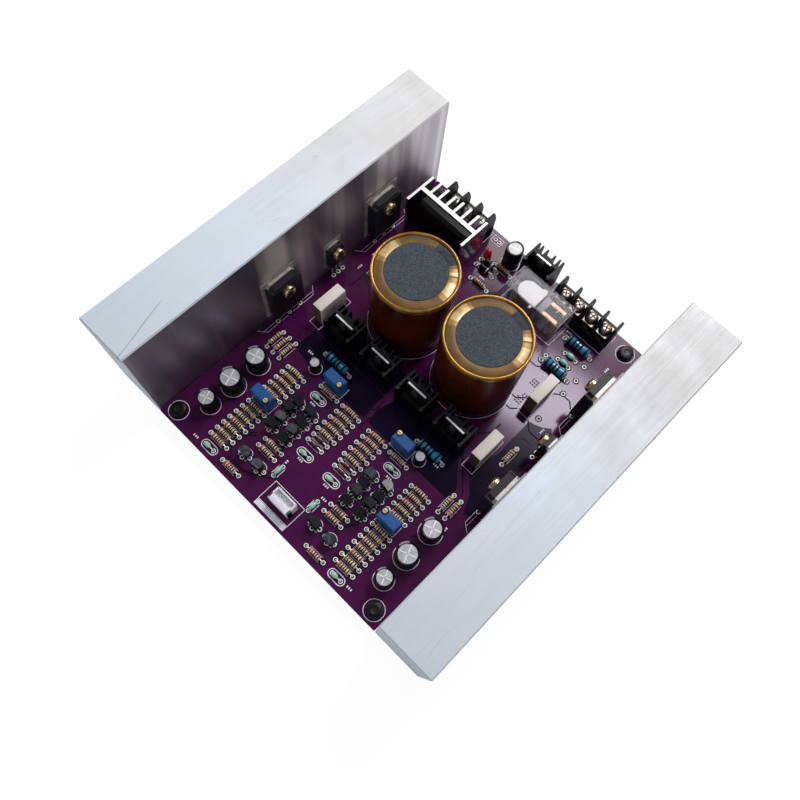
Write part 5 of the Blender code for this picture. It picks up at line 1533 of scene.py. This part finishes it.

# %% [markdown]
# Trimmers: a blue moulded box with a brass worm screw in a round pocket at one corner. The screw
# turns, so it rides on its own body, and the box keeps a ring of painted shade round the pocket. The
# turning screw is round, and only its slot shows that it has moved.

# %% Trimmers
# Moulded box: mid blue, half matt
trimmer_blue, tree, shader = new_finish(
    "blue_moulded_nylon", "#2A66AC", 0.4, 0.0, {"Specular IOR Level": 0.35}
)
add_grain(tree, shader, ("#124A88", "#1E62A4"), 1.2, bump=0.012)
# Turned brass: a small warm spot with a dark slot
brass, tree, shader = new_finish("turned_brass", "#F0CF92", 0.35, 0.7)
add_grain(tree, shader, ("#E2BC7C", "#FCE6BC"), 0.6, rough=(0.28, 0.4))
LID = 0.0003  # the lid is set in from the box by this much, and as high
for corner in ("left_front", "left_back", "right_front", "right_back"):
    name, screw = "trimmer_" + corner, "trimmer_screw_" + corner
    low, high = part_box(name)
    screw_low, screw_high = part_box(screw)
    cx, cy = middle_of(screw_low, screw_high)
    shape = bmesh.new()
    middle_x, middle_y = middle_of(low, high)
    centre = (middle_x, middle_y, (low.z + high.z - LID) / 2)
    add_block(shape, (high.x - low.x, high.y - low.y, high.z - low.z - LID), centre, 0, 0.00025, 2)
    lid = rectangle(low.x + LID, low.y + LID, high.x - LID, high.y - LID)
    add_slab(shape, lid, high.z - 0.0004, high.z - 0.00005)
    # Ring of painted shade round the screw's pocket
    add_turned(
        shape, [(0.0015, high.z - 0.0004, 1), (0.0015, high.z, 1), (0.0013, high.z, 1)], at(cx, cy), 24
    )
    for number in (-1, 0, 1):
        add_block(shape, (0.0006, 0.0004, 0.0009), (middle_x + number * 0.00254, middle_y, BOARD_TOP), 2)
    show(
        name + "_box", to_mesh(shape), [trimmer_blue, dark_ring_shade, tinned], instead_of=[name]
    )
    shape = bmesh.new()
    top = screw_high.z
    profile = [
        (0.0010, screw_low.z, 0), (0.00108, screw_low.z + 0.0002, 0), (0.00108, top - 0.0003, 0),
        (0.00095, top - 0.00005, 0), (0.0004, top - 0.00002, 0),
    ]
    add_turned(shape, profile, at(cx, cy), 28)
    add_block(shape, (0.0019, 0.00028, 0.0001), (cx, cy, top - 0.00006), 1)
    show(screw + "_brass", to_mesh(shape), [brass, recess], body=screw, instead_of=[screw])
print("trimmers dressed: 4")

# %% [markdown]
# Barrier terminal blocks: black moulded nylon with a tall thin wall on each side of every way. In
# each way a nickel plate carries a pan screw, and a copper tongue steps down in front. The walls are
# one outline each, and the base steps down in front of the screws as on the real block.

# %% Terminal finishes
# Moulded nylon: black and slightly waxy
nylon, tree, shader = new_finish("black_moulded_nylon", "#101112", 0.45, 0.0, {"Specular IOR Level": 0.2})
add_grain(tree, shader, ("#070808", "#101213"), 0.8, bump=0.01)
# Rolled copper: a warm glint in the black block
copper, tree, shader = new_finish("rolled_copper_tongue", "#9A6A50", 0.35, 1.0)
add_grain(tree, shader, ("#7F5440", "#B98468"), 1.0, rough=(0.28, 0.45))
print("terminal finishes ready")

# %% [markdown]
# Both blocks are drawn by the same lines, with three ways and with four. Each screw head rides on
# its own body, so that it can turn in the poses, and starts at its own angle.

# %% Terminal blocks
WAY, DEEP, TALL, SEAT = 0.0077, 0.0108, 0.0144, 0.007
rise, nose = TALL - SEAT, DEEP * 0.12
wall = [
    (nose, 0.0002), (0.0107, 0.0002), (0.0107, SEAT + rise * 0.45), (DEEP * 0.84, TALL),
    (DEEP * 0.32, TALL), (nose, SEAT + rise * 0.35),
]
stand = Matrix.Rotation(math.radians(90), 4, "Z") @ FACE_FRONT
for name, ways in (("power", 3), ("speaker", 4)):
    low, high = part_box(name + "_terminal_block")
    cx, depth = (low.x + high.x) / 2, high.y - low.y + 0.0001
    front = low.y - 0.0001
    shape = bmesh.new()
    length = ways * WAY + 0.0013
    centre = (cx, front + depth / 2, low.z + 0.0024)
    add_block(shape, (length - 0.0002, depth - 0.0004, 0.0048), centre, 0, 0.0002, 1)
    centre = (cx, front + depth / 2 + 0.0009, low.z + 0.0055)
    add_block(shape, (length - 0.0004, depth - 0.0022, 0.0030), centre, 0, 0.0002, 1)
    for number in range(ways + 1):
        x = cx + (number - ways / 2) * WAY
        add_slab(shape, wall, -0.00055, 0.00055, 0, at(x, front, low.z) @ stand)
    for number in range(ways):
        x = cx + (number - (ways - 1) / 2) * WAY
        add_block(shape, (0.0056, 0.0070, 0.0008), (x, 0.0752, low.z + 0.0074), 1, 0.00015, 1)
        add_block(shape, (0.0030, 0.0016, 0.0006), (x, front + 0.0020, low.z + 0.0052), 2, 0.0001, 1)
        add_block(shape, (0.0030, 0.0005, 0.0022), (x, front + 0.0028, low.z + 0.0063), 2, 0.0001, 1)
        screw = name + "_terminal_screw_" + str(number + 1)
        s_low, s_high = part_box(screw)
        head = bmesh.new()
        centre = Matrix.Translation((*middle_of(s_low, s_high), s_low.z))
        pan_head(0.0028, 0.0018, centre, head, 0, 1, 30 + 25 * number)
        show(
            screw + "_head", to_mesh(head), [nickel, recess], body=screw, instead_of=[screw]
        )
    block = name + "_terminal_block"
    show(
        block + "_body", to_mesh(shape), [nylon, nickel, copper], instead_of=[block]
    )
print("terminal pitch in mm:", WAY / MM)

# %% [markdown]
# Relay. A clear moulded cover lets the works show: a coil wound with enamelled copper, its white
# bobbin plate on top, the armature and the contact springs. The clear plastic is thin, so it passes
# light by its alpha; real refraction would be slower and would hide the works behind glints.

# %% Relay finishes
# Clear moulding: hardly there, but for its highlights
clear, tree, shader = new_finish("clear_polycarbonate", "#E9E8F0", 0.06, 0.0, {"Alpha": 0.10, "IOR": 1.58})
add_grain(tree, shader, ("#DEDDE8", "#F4F3FA"), 3)
# Moulded edge: a painted highlight that draws the box in white
cover_edge_highlight, tree, shader = new_finish(
    "cover_edge_painted_highlight", "#FFFFFF", 0.15, 0.0, {"Alpha": 0.6, "IOR": 1.58}
)
add_grain(tree, shader, ("#EDEDF2", "#FFFFFF"), 2)
# Bobbin plate: plain white, the brightest thing under the cover
bobbin, tree, shader = new_finish("white_moulded_bobbin", "#EDEDEB", 0.5)
add_grain(tree, shader, ("#E2E2DF", "#F7F7F5"), 1.5, bump=0.01)
# Wound wire of 0.1 mm, drawn at 0.35 mm: red brown lines
winding, tree, shader = new_finish("enamelled_copper_winding", "#7A3B22", 0.3, 0.7)
add_grain(tree, shader, ("#5A2716", "#9C5233"), 0.35, stretch=(0.2, 0.2, 3), bump=0.03)
# Copper alloy springs: two peach coloured strips
spring_metal, tree, shader = new_finish("contact_spring_alloy", "#E6B28E", 0.45, 0.8)
add_grain(tree, shader, ("#B47C58", "#DDAE8C"), 0.8)
# Pressed steel: plain grey
works_grey, tree, shader = new_finish("grey_pressed_steel", "#8D8E96", 0.5, 0.5)
add_grain(tree, shader, ("#55565E", "#777881"), 1.2)
print("relay finishes ready")

# %% [markdown]
# The cover is a shell of real thickness, open below. It is built from four rings of corners: the
# foot inside and outside, the top outside, and the ceiling inside. Its outer edges are bevelled and
# get a white painted highlight, because a moulded edge catches the light and draws the box.

# %% Clear cover
low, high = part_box("relay_cover")
cx, cy = middle_of(low, high)
length, width_y = high.x - low.x, high.y - low.y
wall = 0.0008
shape = bmesh.new()
outer = rectangle(low.x, low.y, high.x, high.y)
inner = rectangle(low.x + wall, low.y + wall, high.x - wall, high.y - wall)
rings = []
for outline, z in ((inner, low.z), (outer, low.z), (outer, high.z), (inner, high.z - wall)):
    rings.append([shape.verts.new((x, y, z)) for x, y in outline])
for first, second in ((0, 1), (1, 2), (0, 3)):
    lower, upper = rings[first], rings[second]
    for step in range(4):
        after = (step + 1) % 4
        shape.faces.new((lower[step], lower[after], upper[after], upper[step]))
shape.faces.new(rings[2])
shape.faces.new(rings[3])
bmesh.ops.recalc_face_normals(shape, faces=shape.faces)
outer_edges = []
for edge in shape.edges:
    at_foot = [vert in rings[1] for vert in edge.verts]
    on_top = [abs(vert.co.z - high.z) < 1e-6 for vert in edge.verts]
    if all(foot or lid for foot, lid in zip(at_foot, on_top)) and not all(at_foot):
        outer_edges.append(edge)
bmesh.ops.bevel(shape, geom=outer_edges, offset=0.00028, segments=1, affect="EDGES", material=1)
gate_mark = [(0.0011, high.z - 0.0003, 0), (0.0011, high.z - 0.00002, 0), (0.0009, high.z, 0)]
add_turned(shape, gate_mark, at(cx + 0.0035, cy + 0.0008), 24)
show(
    "relay_cover_clear", to_mesh(shape, closed=False), [clear, cover_edge_highlight], instead_of=["relay_cover"],
)
print("cover size in mm:", round(length / MM, 1), round(width_y / MM, 1))

# %% [markdown]
# The works stand still under the cover: the base, the round ended coil with its bobbin plate, the
# yoke, two fixed contact posts and two springs. They are simple blocks, seen through plastic.

# %% Relay works
def rounded_left(radius, centre_x, right_x):
    """Outline with a round left end."""
    points = [(right_x, -radius), (right_x, radius)]
    for step in range(17):
        angle = math.pi / 2 + step * math.pi / 16
        points.append((centre_x + radius * math.cos(angle), radius * math.sin(angle)))
    return points


shape = bmesh.new()
base_low = BOARD_TOP + 0.0003
add_block(shape, (length - 0.0022, width_y - 0.0022, 0.002), (cx, cy, base_low + 0.001), 0, 0.0002, 1)
coil_x, plate_r = -0.0062, 0.0047
add_slab(
    shape, rounded_left(plate_r - 0.0006, coil_x, 0.0002), base_low + 0.0016, base_low + 0.0102, 1,
    at(cx, cy)
)
add_slab(shape, rounded_left(plate_r, coil_x, 0.0008), base_low + 0.0102, base_low + 0.0113, 2, at(cx, cy))
add_block(shape, (0.0018, 0.0018, 0.0008), (cx - 0.0008, cy + 0.0050, base_low + 0.0106), 2, 0.0001, 1)
add_block(shape, (0.0012, 0.0024, 0.0008), (cx - 0.0007, cy - 0.0050, base_low + 0.0106), 2, 0.0001, 1)
add_block(shape, (0.0010, 0.0078, 0.0080), (cx + 0.0026, cy, base_low + 0.0056), 3, 0.0001, 1)
for side in (-1, 1):
    add_block(
        shape, (0.0016, 0.0022, 0.0088), (cx + 0.0118, cy + side * 0.0031, base_low + 0.0050), 4, 0.0001, 1
    )
    add_block(
        shape, (0.0006, 0.0016, 0.0085), (cx + 0.0088, cy + side * 0.0031, base_low + 0.0046), 4, 0.0001, 1
    )
for x in (-0.0125, 0.0045):
    add_block(shape, (0.0005, 0.0022, 0.0074), (cx + x, cy - 0.0040, base_low + 0.0053), 3, 0.0001, 1)
works = [nylon, winding, bobbin, works_grey, spring_metal]
show("relay_works", to_mesh(shape), works, instead_of=["relay_base"])
print("relay works dressed")

# %% [markdown]
# The armature is a steel plate with two flat contact springs. It swings, so it is a piece of its
# own on its own body, a little under the cover's ceiling.

# %% Relay armature
low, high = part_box("relay_armature")
shape = bmesh.new()
add_block(shape, (0.0030, 0.0078, 0.0006), (low.x + 0.0015, cy, low.z + 0.0003), 0, 0.0001, 1)
for side in (-1, 1):
    start = low.x + 0.0028
    centre = ((start + high.x) / 2, cy + side * 0.0031, low.z + 0.0003)
    add_block(shape, (high.x - start, 0.0017, 0.0003), centre, 1, 0.0001, 1)
    add_block(shape, (0.0022, 0.0010, 0.0002), (high.x - 0.0045, cy + side * 0.0031, low.z + 0.00048), 1)
name = "relay_armature"
show(
    name + "_springs", to_mesh(shape), [works_grey, spring_metal], body=name, instead_of=[name],
)
print("relay dressed")

# %% [markdown]
# Input connector: a white nylon header. Behind its thick front ledge is a pocket with thin walls,
# and three tinned pins stand in it. The pocket's floor is drawn higher than in the solid, because
# light that bounces between white walls makes it look shallow.

# %% Input connector
# Moulded nylon: bluish white and soft
white_nylon, tree, shader = new_finish("white_moulded_nylon", "#E9EAF0", 0.45)
add_grain(tree, shader, ("#D8DAE2", "#FAFAFC"), 1.2, bump=0.012)
# The same nylon in shade: a little greyer
pocket_shadow, tree, shader = new_finish("shaded_nylon_pocket", "#C9CAD2", 0.55)
add_grain(tree, shader, ("#DCDDE3", "#F0F0F4"), 1.0)
low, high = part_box("input_connector")
wall = 0.0007
ledge = 0.0028
shape = bmesh.new()
long, wide, tall = high.x - low.x, high.y - low.y, high.z - low.z
middle_x, middle_y = middle_of(low, high)
middle_z = (low.z + high.z) / 2
add_block(shape, (long, ledge, tall), (middle_x, low.y + ledge / 2, middle_z), 0, 0.00015, 2)
add_block(shape, (long, wall, tall), (middle_x, high.y - wall / 2, middle_z), 0, 0.00015, 2)
for x in (low.x + wall / 2, high.x - wall / 2):
    add_block(shape, (wall, wide - 0.0002, tall), (x, middle_y, middle_z), 0, 0.00015, 2)
floor_z = high.z - tall * 0.35
centre = (middle_x, middle_y, (low.z + floor_z) / 2)
add_block(shape, (long - 0.0004, wide - 0.0004, floor_z - low.z), centre, 1)
for number in (-1, 0, 1):
    x = middle_x + number * 0.0025
    add_block(shape, (0.0009, 0.0003, 0.00012), (x, low.y + 0.0008, high.z - 0.00003), 1)
    add_block(shape, (0.0006, 0.0006, 0.0034), (x, high.y - 0.0018, floor_z - 0.0002), 2, 0.0001, 1)
header = [white_nylon, pocket_shadow, tinned]
show("input_header", to_mesh(shape), header, instead_of=["input_connector"])
print("connector size in mm:", round(long / MM, 1), round(wide / MM, 1), round(tall / MM, 1))

# %% [markdown]
# Corner screws and standoffs: black oxide screws press the board onto hexagonal pillars. Pillar,
# shank and head are one piece here, as they are one solid. The head is a turned profile with a
# round recess in its top.

# %% Standoffs and corner screws
reach = 0.0055 / math.sqrt(3)  # from the pillar's middle to a corner, 5.5 mm across its flats
angles = [math.radians(60 * step) for step in range(6)]
hexagon = [(reach * math.cos(angle), reach * math.sin(angle)) for angle in angles]
head = [
    (0.0034, 0.0, 0), (0.0034, 0.0011, 0), (0.0032, 0.0016, 0), (0.0027, 0.00185, 0), (0.0015, 0.0019, 0),
    (0.00145, 0.0016, 1), (0.0011, 0.0015, 1),
]
for corner in ("left_front", "right_front", "left_back", "right_back"):
    name = "standoff_" + corner
    low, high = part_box(name)
    cx, cy = middle_of(low, high)
    shape = bmesh.new()
    add_slab(shape, hexagon, 0.0, 0.0057, 0, at(cx, cy))
    add_turned(shape, [(0.00125, 0.003, 0), (0.00125, 0.0085, 0)], at(cx, cy), 16)
    add_turned(shape, head, at(cx, cy, high.z - 0.0019), 32)
    show(name + "_screw", to_mesh(shape), [oxide, recess], instead_of=[name])
print("head across in mm:", 2 * 3.4)

# %% [markdown]
# Indicator lamp: a round red epoxy lamp with a flange, clear enough to glow where light passes.

# %% Indicator lamp
# Cast red epoxy: glossy, light enters it a little
lamp_red, tree, shader = new_finish(
    "red_cast_epoxy", "#C0180F", 0.15, 0.0, {"Transmission Weight": 0.25, "IOR": 1.5}
)
add_grain(tree, shader, ("#A8120B", "#DA261A"), 1.5)
low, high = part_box("indicator_lamp")
r, h = (high.x - low.x) / 2, high.z - low.z
profile = [(r, 0.0, 0), (r, 0.0008, 0), (r - 0.0004, 0.001, 0), (r - 0.0004, h - 0.0016, 0)]
for step in range(1, 7):
    angle = math.radians(step * 14)
    profile.append(((r - 0.0004) * math.cos(angle), h - 0.0016 + 0.0016 * math.sin(angle), 0))
shape = bmesh.new()
add_turned(shape, profile, at(*middle_of(low, high), low.z), 32)
show("indicator_lamp_dome", to_mesh(shape), [lamp_red], instead_of=["indicator_lamp"])
print("lamp across in mm:", round(2 * r / MM, 1))
